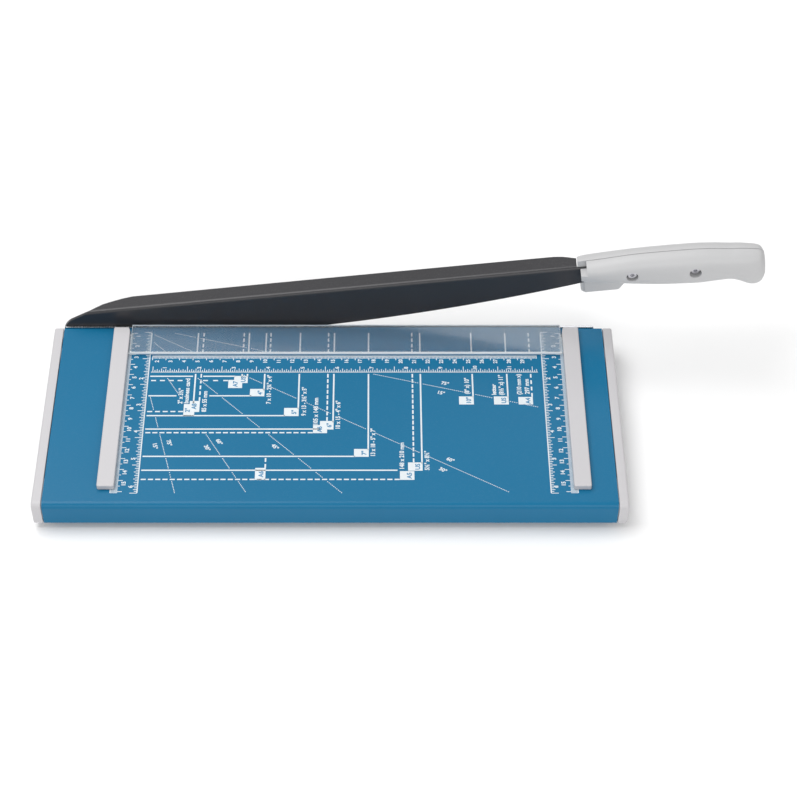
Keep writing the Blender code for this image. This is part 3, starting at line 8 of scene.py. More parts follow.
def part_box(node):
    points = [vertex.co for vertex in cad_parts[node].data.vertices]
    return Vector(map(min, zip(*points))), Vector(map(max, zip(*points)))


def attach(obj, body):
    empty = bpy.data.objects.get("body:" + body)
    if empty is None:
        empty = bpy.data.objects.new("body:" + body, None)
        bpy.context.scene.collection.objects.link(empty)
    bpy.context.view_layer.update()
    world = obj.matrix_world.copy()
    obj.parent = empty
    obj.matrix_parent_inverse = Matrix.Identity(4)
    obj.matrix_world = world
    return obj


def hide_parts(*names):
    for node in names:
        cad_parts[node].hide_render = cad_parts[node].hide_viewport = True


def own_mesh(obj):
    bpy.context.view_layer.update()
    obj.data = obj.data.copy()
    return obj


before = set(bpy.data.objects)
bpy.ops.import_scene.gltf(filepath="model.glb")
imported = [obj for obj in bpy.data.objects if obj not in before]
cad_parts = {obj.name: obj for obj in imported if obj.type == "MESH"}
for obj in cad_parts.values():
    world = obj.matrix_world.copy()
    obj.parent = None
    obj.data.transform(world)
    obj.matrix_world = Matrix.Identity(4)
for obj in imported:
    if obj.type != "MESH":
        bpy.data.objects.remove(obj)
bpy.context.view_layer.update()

SCENE = bpy.context.scene

# The ruler frame: X runs right from the left fence, Y away from the user from the
# cut, Z up from the desk. Sizes are in metres, and those of the print in mm.
RULER = Vector((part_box("left_fence")[1].x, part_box("lower_blade")[1].y, 0.0))
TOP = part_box("table")[1].z
GAP = 0.0003  # the clearance between pieces that touch
PIVOT = Vector((-0.036, 0.0, TOP - 0.007))
ARM_TURN = math.radians(-7.5)  # how far the arm is raised at rest
ALONG_Y = Matrix.Rotation(math.radians(-90), 4, "X")
FACING = Matrix.Rotation(math.radians(90), 4, "X")
SIDEWAYS = Matrix(((0, 0, 1, 0), (1, 0, 0, 0), (0, 1, 0, 0), (0, 0, 0, 1)))
ON_BASE = Matrix.Translation(RULER)
ON_ARM = Matrix.Translation(RULER + PIVOT) @ Matrix.Rotation(ARM_TURN, 4, "Y")


# ---------------------------------------------------------------- node helpers
def add(tree, kind, **settings):
    """A node with its settings; a setting named after a socket sets that socket."""
    made = tree.nodes.new(kind)
    for key, value in settings.items():
        if hasattr(made, key):
            setattr(made, key, value)
        else:
            made.inputs[key.replace("_", " ")].default_value = value
    return made


def wire(tree, *pairs):
    for source, target in pairs:
        tree.links.new(source, target)


def maths(tree, operation, first, second):
    """The result of a maths node over two sockets or numbers."""
    made = add(tree, "ShaderNodeMath", operation=operation)
    for slot, value in zip(made.inputs, (first, second)):
        if isinstance(value, (int, float)):
            slot.default_value = value
        else:
            tree.links.new(value, slot)
    return made.outputs[0]


def times(tree, first, second):
    return maths(tree, "MULTIPLY", first, second)


def object_place(tree):
    """Where a point lies on its own piece, for patterns that stay on the piece."""
    return tree.nodes.new("ShaderNodeTexCoord").outputs["Object"]


def effect(name, inputs, outputs):
    """An empty shader group with named inputs and outputs."""
    tree = bpy.data.node_groups.new(name, "ShaderNodeTree")
    for label, kind, value in inputs:
        made = tree.interface.new_socket(label, in_out="INPUT", socket_type="NodeSocket" + kind)
        made.default_value = value
    for label, kind in outputs:
        tree.interface.new_socket(label, in_out="OUTPUT", socket_type="NodeSocket" + kind)
    given = tree.nodes.new("NodeGroupInput").outputs
    return tree, given, tree.nodes.new("NodeGroupOutput").inputs


# ------------------------------------------------------------- shared effects
def moulded_grain():
    """The fine, rounded texture of powder coat and moulded plastic, as a height."""
    tree, given, out = effect(
        "moulded_grain", (("Scale", "Float", 1800.0), ("Softness", "Float", 0.5)), (("Height", "Float"),))
    wave_share = 0.35
    place = object_place(tree)
    bumps = add(tree, "ShaderNodeTexVoronoi", feature="SMOOTH_F1")
    waves = add(tree, "ShaderNodeTexNoise", Detail=3.0)
    mixed = add(tree, "ShaderNodeMix", data_type="FLOAT")
    wire(tree, (place, bumps.inputs["Vector"]), (place, waves.inputs["Vector"]),
         (given["Scale"], bumps.inputs["Scale"]),
         (times(tree, given["Scale"], wave_share), waves.inputs["Scale"]),
         (given["Softness"], mixed.inputs[0]), (bumps.outputs["Distance"], mixed.inputs[2]),
         (waves.outputs["Fac"], mixed.inputs[3]), (mixed.outputs[0], out["Height"]))
    return tree


def uneven_finish():
    """Slow changes of tone and gloss over a surface, with faint handling marks."""
    tree, given, out = effect("uneven_finish", (
        ("Color", "Color", (0.5, 0.5, 0.5, 1.0)), ("Tone", "Float", 0.06), ("Roughness", "Float", 0.45),
        ("Gloss Change", "Float", 0.08), ("Scale", "Float", 12.0)), (("Color", "Color"), ("Roughness", "Float")))
    marks_finer = 7.0
    place = object_place(tree)
    clouds = add(tree, "ShaderNodeTexNoise", Detail=4.0)
    marks = add(tree, "ShaderNodeTexNoise", Detail=6.0, Distortion=1.5)
    bright = add(tree, "ShaderNodeHueSaturation")

    def swing(noise, amount):
        """Twice the amount, times how far the noise lies from its middle."""
        return times(tree, times(tree, maths(tree, "SUBTRACT", noise.outputs["Fac"], 0.5), amount), 2.0)

    wire(tree, (place, clouds.inputs["Vector"]), (place, marks.inputs["Vector"]),
         (given["Scale"], clouds.inputs["Scale"]),
         (times(tree, given["Scale"], marks_finer), marks.inputs["Scale"]),
         (maths(tree, "ADD", swing(clouds, given["Tone"]), 1.0), bright.inputs["Value"]),
         (given["Color"], bright.inputs["Color"]), (bright.outputs["Color"], out["Color"]),
         (maths(tree, "ADD", given["Roughness"], swing(marks, given["Gloss Change"])), out["Roughness"]))
    return tree


def rubbed_edge():
    """A mask of the outer edges, broken up, where handling has rubbed them and where a painted highlight lightens
    them.
    """
    tree, given, out = effect(
        "rubbed_edge", (("Width", "Float", 0.0006), ("Breaks", "Float", 500.0)), (("Mask", "Float"),))
    eased_face = add(tree, "ShaderNodeBevel", samples=4)
    face = tree.nodes.new("ShaderNodeNewGeometry")
    apart = add(tree, "ShaderNodeVectorMath", operation="DOT_PRODUCT")
    spots = add(tree, "ShaderNodeTexNoise", Detail=4.0)
    edge = add(tree, "ShaderNodeMapRange", clamp=True, From_Min=0.985, From_Max=0.90)
    wire(tree, (given["Width"], eased_face.inputs["Radius"]), (eased_face.outputs["Normal"], apart.inputs[0]),
         (face.outputs["Normal"], apart.inputs[1]), (object_place(tree), spots.inputs["Vector"]),
         (given["Breaks"], spots.inputs["Scale"]), (apart.outputs["Value"], edge.inputs["Value"]),
         (times(tree, edge.outputs[0], spots.outputs["Fac"]), out["Mask"]))
    return tree


def long_streaks():
    """Grinding or drawing marks that run one way, as a value."""
    tree, given, out = effect(
        "long_streaks", (("Direction", "Vector", (20.0, 4000.0, 4000.0)),), (("Value", "Float"),))
    drawn = add(tree, "ShaderNodeVectorMath", operation="MULTIPLY")
    lines = add(tree, "ShaderNodeTexNoise", Scale=1.0, Detail=3.0, Roughness=0.6)
    wire(tree, (object_place(tree), drawn.inputs[0]), (given["Direction"], drawn.inputs[1]),
         (drawn.outputs[0], lines.inputs["Vector"]), (lines.outputs["Fac"], out["Value"]))
    return tree


def settled_dust():
    """A little pale dust on faces that look up."""
    tree, given, out = effect(
        "settled_dust", (("Color", "Color", (0.5, 0.5, 0.5, 1.0)), ("Amount", "Float", 0.05)),
        (("Color", "Color"),))
    dust_colour = (0.62, 0.61, 0.58, 1.0)
    facing = tree.nodes.new("ShaderNodeNewGeometry")
    split = tree.nodes.new("ShaderNodeSeparateXYZ")
    specks = add(tree, "ShaderNodeTexNoise", Scale=900.0, Detail=5.0, Roughness=0.7)
    cover = add(tree, "ShaderNodeMapRange", clamp=True, From_Min=0.52, From_Max=0.75)
    mixed = add(tree, "ShaderNodeMix", data_type="RGBA")
    mixed.inputs[7].default_value = dust_colour
    up = maths(tree, "MAXIMUM", split.outputs["Z"], 0.0)
    wire(tree, (facing.outputs["Normal"], split.inputs[0]), (object_place(tree), specks.inputs["Vector"]),
         (specks.outputs["Fac"], cover.inputs["Value"]), (given["Color"], mixed.inputs[6]),
         (times(tree, times(tree, up, cover.outputs[0]), given["Amount"]), mixed.inputs[0]),
         (mixed.outputs[2], out["Color"]))
    return tree


GRAIN = moulded_grain()
UNEVEN = uneven_finish()
RUBBED_AND_HIGHLIT = rubbed_edge()
STREAKS = long_streaks()
DUST = settled_dust()


def placed(tree, group, **values):
    """A shared effect in a material, with this material's own values."""
    made = tree.nodes.new("ShaderNodeGroup")
    made.node_tree = group
    for key, value in values.items():
        made.inputs[key.replace("_", " ")].default_value = value
    return made


def finish(name, colour, roughness, metallic=0.0, tone=0.06, gloss=0.06, scale=12.0, grain=1800.0,
           depth=0.00003, dust=0.05, rub_and_highlight=None, rub_and_highlight_share=0.6, streaks=None, **shader_values):
    """A material with the shared effects; streaks take the place of the grain."""
    rub_and_highlight_width, streak_gloss = 0.0005, 0.3
    material = bpy.data.materials.new(name)
    material.use_nodes = True
    tree = material.node_tree
    shader = tree.nodes["Principled BSDF"]
    shader.inputs["Metallic"].default_value = metallic
    for key, value in shader_values.items():
        shader.inputs[key.replace("_", " ")].default_value = value
    uneven = placed(tree, UNEVEN, Color=(*colour, 1.0), Tone=tone, Roughness=roughness,
                    Gloss_Change=gloss, Scale=scale)
    shown = uneven.outputs["Color"]
    # Outer edges and bends lighten towards this colour: partly rubbed wear, partly a painted highlight.
    if rub_and_highlight is not None:
        edge = placed(tree, RUBBED_AND_HIGHLIT, Width=rub_and_highlight_width)
        worn_and_highlit = add(tree, "ShaderNodeMix", data_type="RGBA")
        worn_and_highlit.inputs[7].default_value = (*rub_and_highlight, 1.0)
        wire(tree, (times(tree, edge.outputs["Mask"], rub_and_highlight_share), worn_and_highlit.inputs[0]), (shown, worn_and_highlit.inputs[6]))
        shown = worn_and_highlit.outputs[2]
    if dust:
        dusty = placed(tree, DUST, Amount=dust)
        wire(tree, (shown, dusty.inputs["Color"]))
        shown = dusty.outputs["Color"]
    rough = uneven.outputs["Roughness"]
    if streaks is None:
        height = placed(tree, GRAIN, Scale=grain).outputs["Height"]
    else:
        height = placed(tree, STREAKS, Direction=streaks).outputs["Value"]
        rough = maths(tree, "ADD", rough, times(tree, maths(tree, "SUBTRACT", height, 0.5), streak_gloss))
    bump = add(tree, "ShaderNodeBump", Strength=0.6, Distance=depth)
    wire(tree, (shown, shader.inputs["Base Color"]), (rough, shader.inputs["Roughness"]),
         (height, bump.inputs["Height"]), (bump.outputs["Normal"], shader.inputs["Normal"]))
    return material


# Its bends and edges get a faint lighter blue: a painted highlight with a little rubbed wear.
BLUE_PAINT = finish(
    "blue_powder_coat", (0.004, 0.140, 0.280), 0.32, tone=0.05, gloss=0.04, grain=1600.0, dust=0.02,
    rub_and_highlight=(0.06, 0.27, 0.46), rub_and_highlight_share=0.20, Specular_IOR_Level=0.24)
PALE_PLASTIC = finish(
    "pale_grey_plastic", (0.525, 0.515, 0.53), 0.44, tone=0.025, grain=2600.0, depth=0.00002,
    rub_and_highlight=(0.66, 0.65, 0.66), rub_and_highlight_share=0.35)
HANDLE_PLASTIC = finish(
    "handle_plastic", (0.51, 0.51, 0.515), 0.46, tone=0.03, grain=2400.0, rub_and_highlight=(0.66, 0.66, 0.67),
    rub_and_highlight_share=0.35)
ZINC = finish(
    "zinc_plate", (0.56, 0.56, 0.59), 0.30, metallic=1.0, tone=0.05, gloss=0.12, scale=160.0,
    grain=3200.0, depth=0.00001, dust=0.0)
SPRING_STEEL = finish(
    "spring_wire", (0.52, 0.52, 0.54), 0.27, metallic=1.0, tone=0.05, scale=200.0, depth=0.00001,
    dust=0.0, streaks=(3000.0, 3000.0, 400.0))
GROUND_STEEL = finish(
    "ground_steel", (0.56, 0.57, 0.59), 0.26, metallic=1.0, tone=0.04, scale=60.0, depth=0.00001,
    dust=0.0, streaks=(4200.0, 300.0, 60.0))
BLACK_PLASTIC = finish("black_moulding", (0.030, 0.030, 0.032), 0.50, tone=0.12, grain=2200.0)
RUBBER = finish(
    "foot_rubber", (0.022, 0.022, 0.023), 0.78, tone=0.18, grain=1400.0, depth=0.00005, dust=0.12)
BRASS = finish(
    "turned_brass", (0.60, 0.42, 0.17), 0.30, metallic=1.0, tone=0.08, scale=120.0, depth=0.00001,
    dust=0.0, streaks=(3000.0, 60.0, 3000.0))
WHITE_INK = finish(
    "white_ink", (0.68, 0.73, 0.76), 0.55, tone=0.10, scale=220.0, grain=2600.0, depth=0.00001, dust=0.0)
BLUE_INK = finish(
    "blue_ink", (0.05, 0.22, 0.40), 0.55, tone=0.10, scale=220.0, grain=2600.0, depth=0.00001, dust=0.0)
# The arm's rounded bend and edges get a strong painted highlight, a lighter grey over the black.
ARM_STEEL = finish(
    "black_arm_steel", (0.026, 0.0255, 0.029), 0.345, tone=0.10, gloss=0.06, scale=30.0, grain=2600.0,
    depth=0.00002, rub_and_highlight=(0.16, 0.16, 0.17), rub_and_highlight_share=0.7)
GRIND_STEEL = finish(
    "ground_cutting_edge", (0.50, 0.51, 0.53), 0.24, metallic=1.0, tone=0.04, scale=60.0,
    depth=0.00001, dust=0.0, streaks=(4200.0, 300.0, 300.0))


def clear_sheet(name, clearness, roughness):
    """Clear plastic: polished faces let light through, sawn edges scatter it."""
    material = bpy.data.materials.new(name)
    material.use_nodes = True
    tree = material.node_tree
    shader = tree.nodes["Principled BSDF"]
    shader.inputs["Transmission Weight"].default_value = clearness
    shader.inputs["IOR"].default_value = 1.49
    uneven = placed(tree, UNEVEN, Color=(0.95, 0.97, 0.98, 1.0), Tone=0.01, Roughness=roughness,
                    Gloss_Change=0.03, Scale=40.0)
    grain = placed(tree, GRAIN, Scale=700.0, Softness=0.9)
    bump = add(tree, "ShaderNodeBump", Strength=0.10, Distance=0.00001)
    # Lamps reach the table through the sheet, strongly dimmed: a painted shadow under the sheet, darker than
    # clear plastic casts, that stands in for the arm's shade.
    dimmed_shadow_pass = tree.nodes.new("ShaderNodeBsdfTransparent")
    dimmed_shadow_pass.inputs["Color"].default_value = (0.15, 0.20, 0.24, 1.0)
    either = tree.nodes.new("ShaderNodeMixShader")
    path = tree.nodes.new("ShaderNodeLightPath")
    wire(tree, (uneven.outputs["Color"], shader.inputs["Base Color"]),
         (uneven.outputs["Roughness"], shader.inputs["Roughness"]),
         (grain.outputs["Height"], bump.inputs["Height"]), (bump.outputs["Normal"], shader.inputs["Normal"]),
         (path.outputs["Is Shadow Ray"], either.inputs[0]), (shader.outputs[0], either.inputs[1]),
         (dimmed_shadow_pass.outputs[0], either.inputs[2]),
         (either.outputs[0], tree.nodes["Material Output"].inputs["Surface"]))
    return material


# --------------------------------------------------------------- mesh helpers
def mesh_of(bm, merge=0.000001):
    """The mesh of an edited shape, closed up and with its faces outward."""
    bmesh.ops.remove_doubles(bm, verts=bm.verts, dist=merge)
    bmesh.ops.recalc_face_normals(bm, faces=bm.faces)
    return drawn_mesh(bm)


def drawn_mesh(bm):
    mesh = bpy.data.meshes.new("shape")
    bm.to_mesh(mesh)
    bm.free()
    return mesh


def applied(obj):
    """The object's mesh with its modifiers applied; the object is then removed."""
    SCENE.collection.objects.link(obj)
    bpy.context.view_layer.update()
    graph = bpy.context.evaluated_depsgraph_get()
    mesh = bpy.data.meshes.new_from_object(obj.evaluated_get(graph), depsgraph=graph)
    bpy.data.objects.remove(obj, do_unlink=True)
    return mesh


def carved(mesh, tool, operation="DIFFERENCE", overlaps=False):
    """The mesh after an exact cut, union or intersection with a tool's mesh."""
    blank = bpy.data.objects.new("blank", mesh)
    cutter = bpy.data.objects.new("cutter", tool)
    SCENE.collection.objects.link(cutter)
    cut = blank.modifiers.new("cut", "BOOLEAN")
    cut.object = cutter
    cut.operation = operation
    cut.solver = "EXACT"
    cut.use_self = overlaps
    result = applied(blank)
    bpy.data.objects.remove(cutter, do_unlink=True)
    return result


def eased(mesh, width, segments=2, angle=50):
    """The mesh with its sharp edges rounded."""
    obj = bpy.data.objects.new("sharp", mesh)
    edge = obj.modifiers.new("edge", "BEVEL")
    edge.width = width
    edge.segments = segments
    edge.limit_method = "ANGLE"
    edge.angle_limit = math.radians(angle)
    edge.use_clamp_overlap = True
    return applied(obj)


def round_off(bm, edges, width, steps):
    bmesh.ops.bevel(bm, geom=edges, offset=width, segments=steps, affect="EDGES", profile=0.5,
                    clamp_overlap=True)


def rimmed(mesh, axis, rims):
    """The mesh with the rims of its flat ends rounded: where on the axis, how wide, steps."""
    bm = bmesh.new()
    bm.from_mesh(mesh)
    for place, width, steps in rims:
        round_off(bm, [edge for edge in bm.edges
                       if all(abs(v.co[axis] - place) < 0.00005 for v in edge.verts)
                       and sum(abs(face.normal[axis]) > 0.5 for face in edge.link_faces) == 1], width, steps)
    return mesh_of(bm)


def piece(name, mesh, looks, body, nodes=(), turn=ON_BASE, smooth=35):
    """A finished piece of the machine, with its place in its mesh."""
    mesh.transform(turn)
    mesh.materials.clear()
    for look in (looks if isinstance(looks, list) else [looks]):
        mesh.materials.append(look)
    mesh.shade_smooth()
    mesh.set_sharp_from_angle(angle=math.radians(smooth))
    mesh.name = name
    obj = bpy.data.objects.new(name, mesh)
    SCENE.collection.objects.link(obj)
    weigh = obj.modifiers.new("flat faces stay flat", "WEIGHTED_NORMAL")
    weigh.keep_sharp = True
    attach(obj, body)
    if nodes:
        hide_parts(*nodes)
    return obj


def numbered(name, count):
    return ["%s_%d" % (name, n + 1) for n in range(count)]


def joined(meshes):
    bm = bmesh.new()
    for mesh in meshes:
        bm.from_mesh(mesh)
    return drawn_mesh(bm)


def moved(mesh, place, turn=None):
    """The mesh, turned and then set at a place."""
    mesh.transform(Matrix.Translation(place) @ (turn or Matrix()))
    return mesh


def block(low, high):
    bm = bmesh.new()
    low, high = Vector(low), Vector(high)
    place = Matrix.Translation((low + high) / 2) @ Matrix.Diagonal((*(high - low), 1.0))
    bmesh.ops.create_cube(bm, size=1.0, matrix=place)
    return mesh_of(bm)


def rod(start, end, radius, segments=32):
    start, end = Vector(start), Vector(end)
    run = end - start
    turn = Matrix.Translation((start + end) / 2) @ run.to_track_quat("Z", "Y").to_matrix().to_4x4()
    bm = bmesh.new()
    bmesh.ops.create_cone(bm, cap_ends=True, segments=segments, radius1=radius, radius2=radius,
                          depth=run.length, matrix=turn)
    return mesh_of(bm)


def upright(x, y, low, high, radius, segments=32):
    return rod((x, y, low), (x, y, high), radius, segments)


def level(x, z, front, rear, radius, segments=32):
    """A rod along Y."""
    return rod((x, front, z), (x, rear, z), radius, segments)


def plate(outline, low, high):
    """A flat plate from an outline in XY, between two heights."""
    bm = bmesh.new()
    face = bm.faces.new([bm.verts.new((x, y, low)) for x, y in outline])
    made = bmesh.ops.extrude_face_region(bm, geom=[face])["geom"]
    raised = [v for v in made if isinstance(v, bmesh.types.BMVert)]
    bmesh.ops.translate(bm, verts=raised, vec=(0.0, 0.0, high - low))
    return mesh_of(bm)


def turned(profile, segments=48):
    """A turned piece on Z, from a closed outline of radius and height, or from one
    that starts and ends on the axis."""
    bm = bmesh.new()
    step = 2 * math.pi / segments
    rings = [[bm.verts.new((radius * math.cos(step * i), radius * math.sin(step * i), height))
              for i in range(segments if radius > 0 else 1)] for radius, height in profile]
    pairs = list(zip(rings, rings[1:]))
    if profile[0][0] > 0:
        pairs.append((rings[-1], rings[0]))
    for one, two in pairs:
        for i in range(segments):
            k = (i + 1) % segments
            corners = [one[i % len(one)], one[k % len(one)], two[k % len(two)], two[i % len(two)]]
            kept = [v for n, v in enumerate(corners) if v not in corners[:n]]
            if len(kept) > 2:
                bm.faces.new(kept)
    return mesh_of(bm)


def arc(centre, radius, start, end, steps=8):
    """Points on an arc, from one angle to another in degrees."""
    turns = [math.radians(start + (end - start) * i / steps) for i in range(steps + 1)]
    return [(centre[0] + radius * math.cos(t), centre[1] + radius * math.sin(t)) for t in turns]


def rounded_path(corners, radii, steps=10):
    """An open path whose inner corners are rounded, each with its own radius."""
    path = [corners[0]]
    for before, corner, after, radius in zip(corners, corners[1:], corners[2:], radii):
        here = Vector(corner)
        back = (Vector(before) - here).normalized()
        on = (Vector(after) - here).normalized()
        half = back.angle(on) / 2
        centre = here + (back + on).normalized() * radius / math.sin(half)
        first = here + back * radius / math.tan(half) - centre
        sweep = first.angle_signed(here + on * radius / math.tan(half) - centre)
        path += [tuple(centre + Matrix.Rotation(-sweep * i / steps, 2) @ first) for i in range(steps + 1)]
    return path + [corners[-1]]


# --------------------------------------------------------- geometry node trees
def shaping_tree(name, inputs):
    """An empty Geometry Nodes tree with named inputs, its input node and its end."""
    tree = bpy.data.node_groups.new(name, "GeometryNodeTree")
    for label, kind in (("Geometry", "Geometry"), *inputs, ("Material", "Material")):
        tree.interface.new_socket(label, in_out="INPUT", socket_type="NodeSocket" + kind)
    tree.interface.new_socket("Geometry", in_out="OUTPUT", socket_type="NodeSocketGeometry")
    given = tree.nodes.new("NodeGroupInput").outputs
    real = tree.nodes.new("GeometryNodeRealizeInstances")
    coat = tree.nodes.new("GeometryNodeSetMaterial")
    wire(tree, (real.outputs[0], coat.inputs["Geometry"]), (given["Material"], coat.inputs["Material"]),
         (coat.outputs[0], tree.nodes.new("NodeGroupOutput").inputs[0]))
    return tree, given, real.inputs[0]


def grown(tree, values, base=None):
    """The plain mesh that a tree makes from these values."""
    obj = bpy.data.objects.new("seed", base or bpy.data.meshes.new("seed"))
    grow = obj.modifiers.new("grow", "NODES")
    grow.node_group = tree
    names = {item.name: item.identifier for item in tree.interface.items_tree if item.in_out == "INPUT"}
    for label, value in values.items():
        grow[names[label]] = value
    return applied(obj)


def bars_on_points(tree, points, middle, given, end):
    """Flat bars of ink on points, each one metre long until its size is wired in."""
    bar = tree.nodes.new("GeometryNodeMeshCube")
    shift = tree.nodes.new("GeometryNodeTransform")
    shift.inputs["Translation"].default_value = middle
    put = tree.nodes.new("GeometryNodeInstanceOnPoints")
    size = tree.nodes.new("ShaderNodeCombineXYZ")
    wire(tree, (points, put.inputs["Points"]), (bar.outputs["Mesh"], shift.inputs["Geometry"]),
         (shift.outputs[0], put.inputs["Instance"]), (given["Ink Height"], size.inputs["Z"]),
         (size.outputs[0], put.inputs["Scale"]), (put.outputs[0], end))
    return size.inputs, put.inputs["Rotation"]


def on_each_point(tree, thing, given, end):
    put = tree.nodes.new("GeometryNodeInstanceOnPoints")
    points = tree.nodes.new("GeometryNodeMeshToPoints")
    wire(tree, (given["Geometry"], points.inputs[0]), (points.outputs[0], put.inputs["Points"]),
         (thing, put.inputs["Instance"]), (put.outputs[0], end))


def lifted(tree, shape, height, turn=0.0):
    shift = tree.nodes.new("GeometryNodeTransform")
    shift.inputs["Rotation"].default_value = (0.0, 0.0, turn)
    lift = tree.nodes.new("ShaderNodeCombineXYZ")
    wire(tree, (height, lift.inputs["Z"]), (shape, shift.inputs["Geometry"]),
         (lift.outputs[0], shift.inputs["Translation"]))
    return shift.outputs[0]


def ruler_tree():
    """Ticks along X whose length follows their number, from a line of points."""
    tree, given, end = shaping_tree("ruler_ticks", (
        ("Count", "Int"), ("Spacing", "Float"), ("Ink Width", "Float"), ("Ink Height", "Float"),
        ("Plain Length", "Float"), ("Every A", "Int"), ("Length A", "Float"), ("Every B", "Int"),
        ("Length B", "Float"), ("Every C", "Int"), ("Length C", "Float")))
    line = tree.nodes.new("GeometryNodeMeshLine")
    step = tree.nodes.new("ShaderNodeCombineXYZ")
    index = tree.nodes.new("GeometryNodeInputIndex").outputs[0]
    size, _ = bars_on_points(tree, line.outputs[0], (0.0, 0.5, 0.5), given, end)
    wire(tree, (given["Count"], line.inputs["Count"]), (given["Spacing"], step.inputs["X"]),
         (step.outputs[0], line.inputs["Offset"]), (given["Ink Width"], size["X"]))
    length = given["Plain Length"]
    for label in "ABC":
        left_over = maths(tree, "MODULO", index, given["Every " + label])
        chosen = add(tree, "ShaderNodeMix", data_type="FLOAT")
        wire(tree, (maths(tree, "LESS_THAN", left_over, 0.5), chosen.inputs[0]),
             (length, chosen.inputs[2]), (given["Length " + label], chosen.inputs[3]))
        length = chosen.outputs[0]
    wire(tree, (length, size["Y"]))
    return tree


def dash_tree():
    """Dashes of one length along a base of separate straight edges."""
    tree, given, end = shaping_tree("printed_dashes", (
        ("Pitch", "Float"), ("Dash", "Float"), ("Ink Width", "Float"), ("Ink Height", "Float")))
    paths = tree.nodes.new("GeometryNodeMeshToCurve")
    points = add(tree, "GeometryNodeCurveToPoints", mode="LENGTH")
    face = add(tree, "FunctionNodeAlignRotationToVector", axis="X", pivot_axis="Z")
    size, turn = bars_on_points(tree, points.outputs["Points"], (0.0, 0.0, 0.5), given, end)
    wire(tree, (given["Geometry"], paths.inputs[0]), (paths.outputs[0], points.inputs[0]),
         (given["Pitch"], points.inputs["Length"]), (points.outputs["Tangent"], face.inputs["Vector"]),
         (face.outputs[0], turn), (given["Dash"], size["X"]), (given["Ink Width"], size["Y"]))
    return tree


def screw_tree():
    """Pan-head screws with a cross slot, one on each point of the base, head down."""
    tree, given, end = shaping_tree("pan_screws", (
        ("Head", "Float"), ("Head Height", "Float"), ("Shank", "Float"), ("Length", "Float"),
        ("Slot", "Float")))
    face_share, rim_share, tip_share, slot_reach, slot_depth = 0.78, 0.5, 0.55, 1.1, 0.9

    def frustum(low_radius, high_radius, low, height):
        made = add(tree, "GeometryNodeMeshCone", Vertices=32)
        wire(tree, (low_radius, made.inputs["Radius Bottom"]), (high_radius, made.inputs["Radius Top"]),
             (height, made.inputs["Depth"]))
        return lifted(tree, made.outputs["Mesh"], low)

    head, tall, shank = given["Head"], given["Head Height"], given["Shank"]
    rim = times(tree, tall, rim_share)
    face_low = times(tree, tall, -1.0)
    body = maths(tree, "SUBTRACT", given["Length"], shank)
    body_long = maths(tree, "ADD", body, times(tree, rim, 0.5))
    whole = add(tree, "GeometryNodeMeshBoolean", operation="UNION", solver="EXACT", Self_Intersection=True)
    for part in (frustum(times(tree, head, face_share), head, face_low, maths(tree, "SUBTRACT", tall, rim)),
                 frustum(head, head, times(tree, rim, -1.0), rim),
                 frustum(shank, shank, times(tree, rim, -0.5), body_long),
                 frustum(shank, times(tree, shank, tip_share), body, shank)):
        wire(tree, (part, whole.inputs[1]))
    cross = tree.nodes.new("GeometryNodeJoinGeometry")
    for turn in (0.0, math.pi / 2):
        slot = tree.nodes.new("GeometryNodeMeshCube")
        size = tree.nodes.new("ShaderNodeCombineXYZ")
        wire(tree, (times(tree, head, slot_reach), size.inputs["X"]), (given["Slot"], size.inputs["Y"]),
             (times(tree, tall, slot_depth), size.inputs["Z"]), (size.outputs[0], slot.inputs["Size"]),
             (lifted(tree, slot.outputs["Mesh"], face_low, turn), cross.inputs[0]))
    slotted = add(tree, "GeometryNodeMeshBoolean", operation="DIFFERENCE", solver="EXACT",
                  Self_Intersection=True)
    wire(tree, (whole.outputs["Mesh"], slotted.inputs[0]), (cross.outputs[0], slotted.inputs[1]))
    on_each_point(tree, slotted.outputs["Mesh"], given, end)
    return tree


def coil_tree():
    """A compression spring on Z, on each point of the base."""
    tree, given, end = shaping_tree("wire_springs", (
        ("Coil Radius", "Float"), ("Wire Radius", "Float"), ("Height", "Float"), ("Turns", "Float")))
    coil = add(tree, "GeometryNodeCurveSpiral", Resolution=40)
    ring = add(tree, "GeometryNodeCurvePrimitiveCircle", Resolution=14)
    wound = add(tree, "GeometryNodeCurveToMesh", Fill_Caps=True)
    wire(tree, (given["Coil Radius"], coil.inputs["Start Radius"]),
         (given["Coil Radius"], coil.inputs["End Radius"]), (given["Height"], coil.inputs["Height"]),
         (given["Turns"], coil.inputs["Rotations"]), (given["Wire Radius"], ring.inputs["Radius"]),
         (coil.outputs[0], wound.inputs["Curve"]), (ring.outputs[0], wound.inputs["Profile Curve"]))
    on_each_point(tree, wound.outputs[0], given, end)
    return tree


RULER_TICKS = ruler_tree()
DASHES = dash_tree()
PAN_SCREWS = screw_tree()
SPRINGS = coil_tree()


def points_mesh(places):
    mesh = bpy.data.meshes.new("places")
    mesh.from_pydata([tuple(place) for place in places], [], [])
    return mesh


def pan_screws(name, places, head, height, shank, length, nodes, body="base"):
    """Zinc pan-head screws with their seats at these places."""
    values = {"Head": head, "Head Height": height, "Shank": shank, "Length": length, "Slot": 0.0006,
              "Material": ZINC}
    piece(name, grown(PAN_SCREWS, values, points_mesh(places)), ZINC, body, nodes)


def zinc_piece(name, mesh, nodes, body="base", turn=ON_BASE):
    piece(name, mesh, ZINC, body, nodes, turn)


def set_out(shape, places, turn=None):
    """One mesh of copies of a shape, each turned and set at its place."""
    return joined([moved(shape.copy(), place, turn) for place in places])


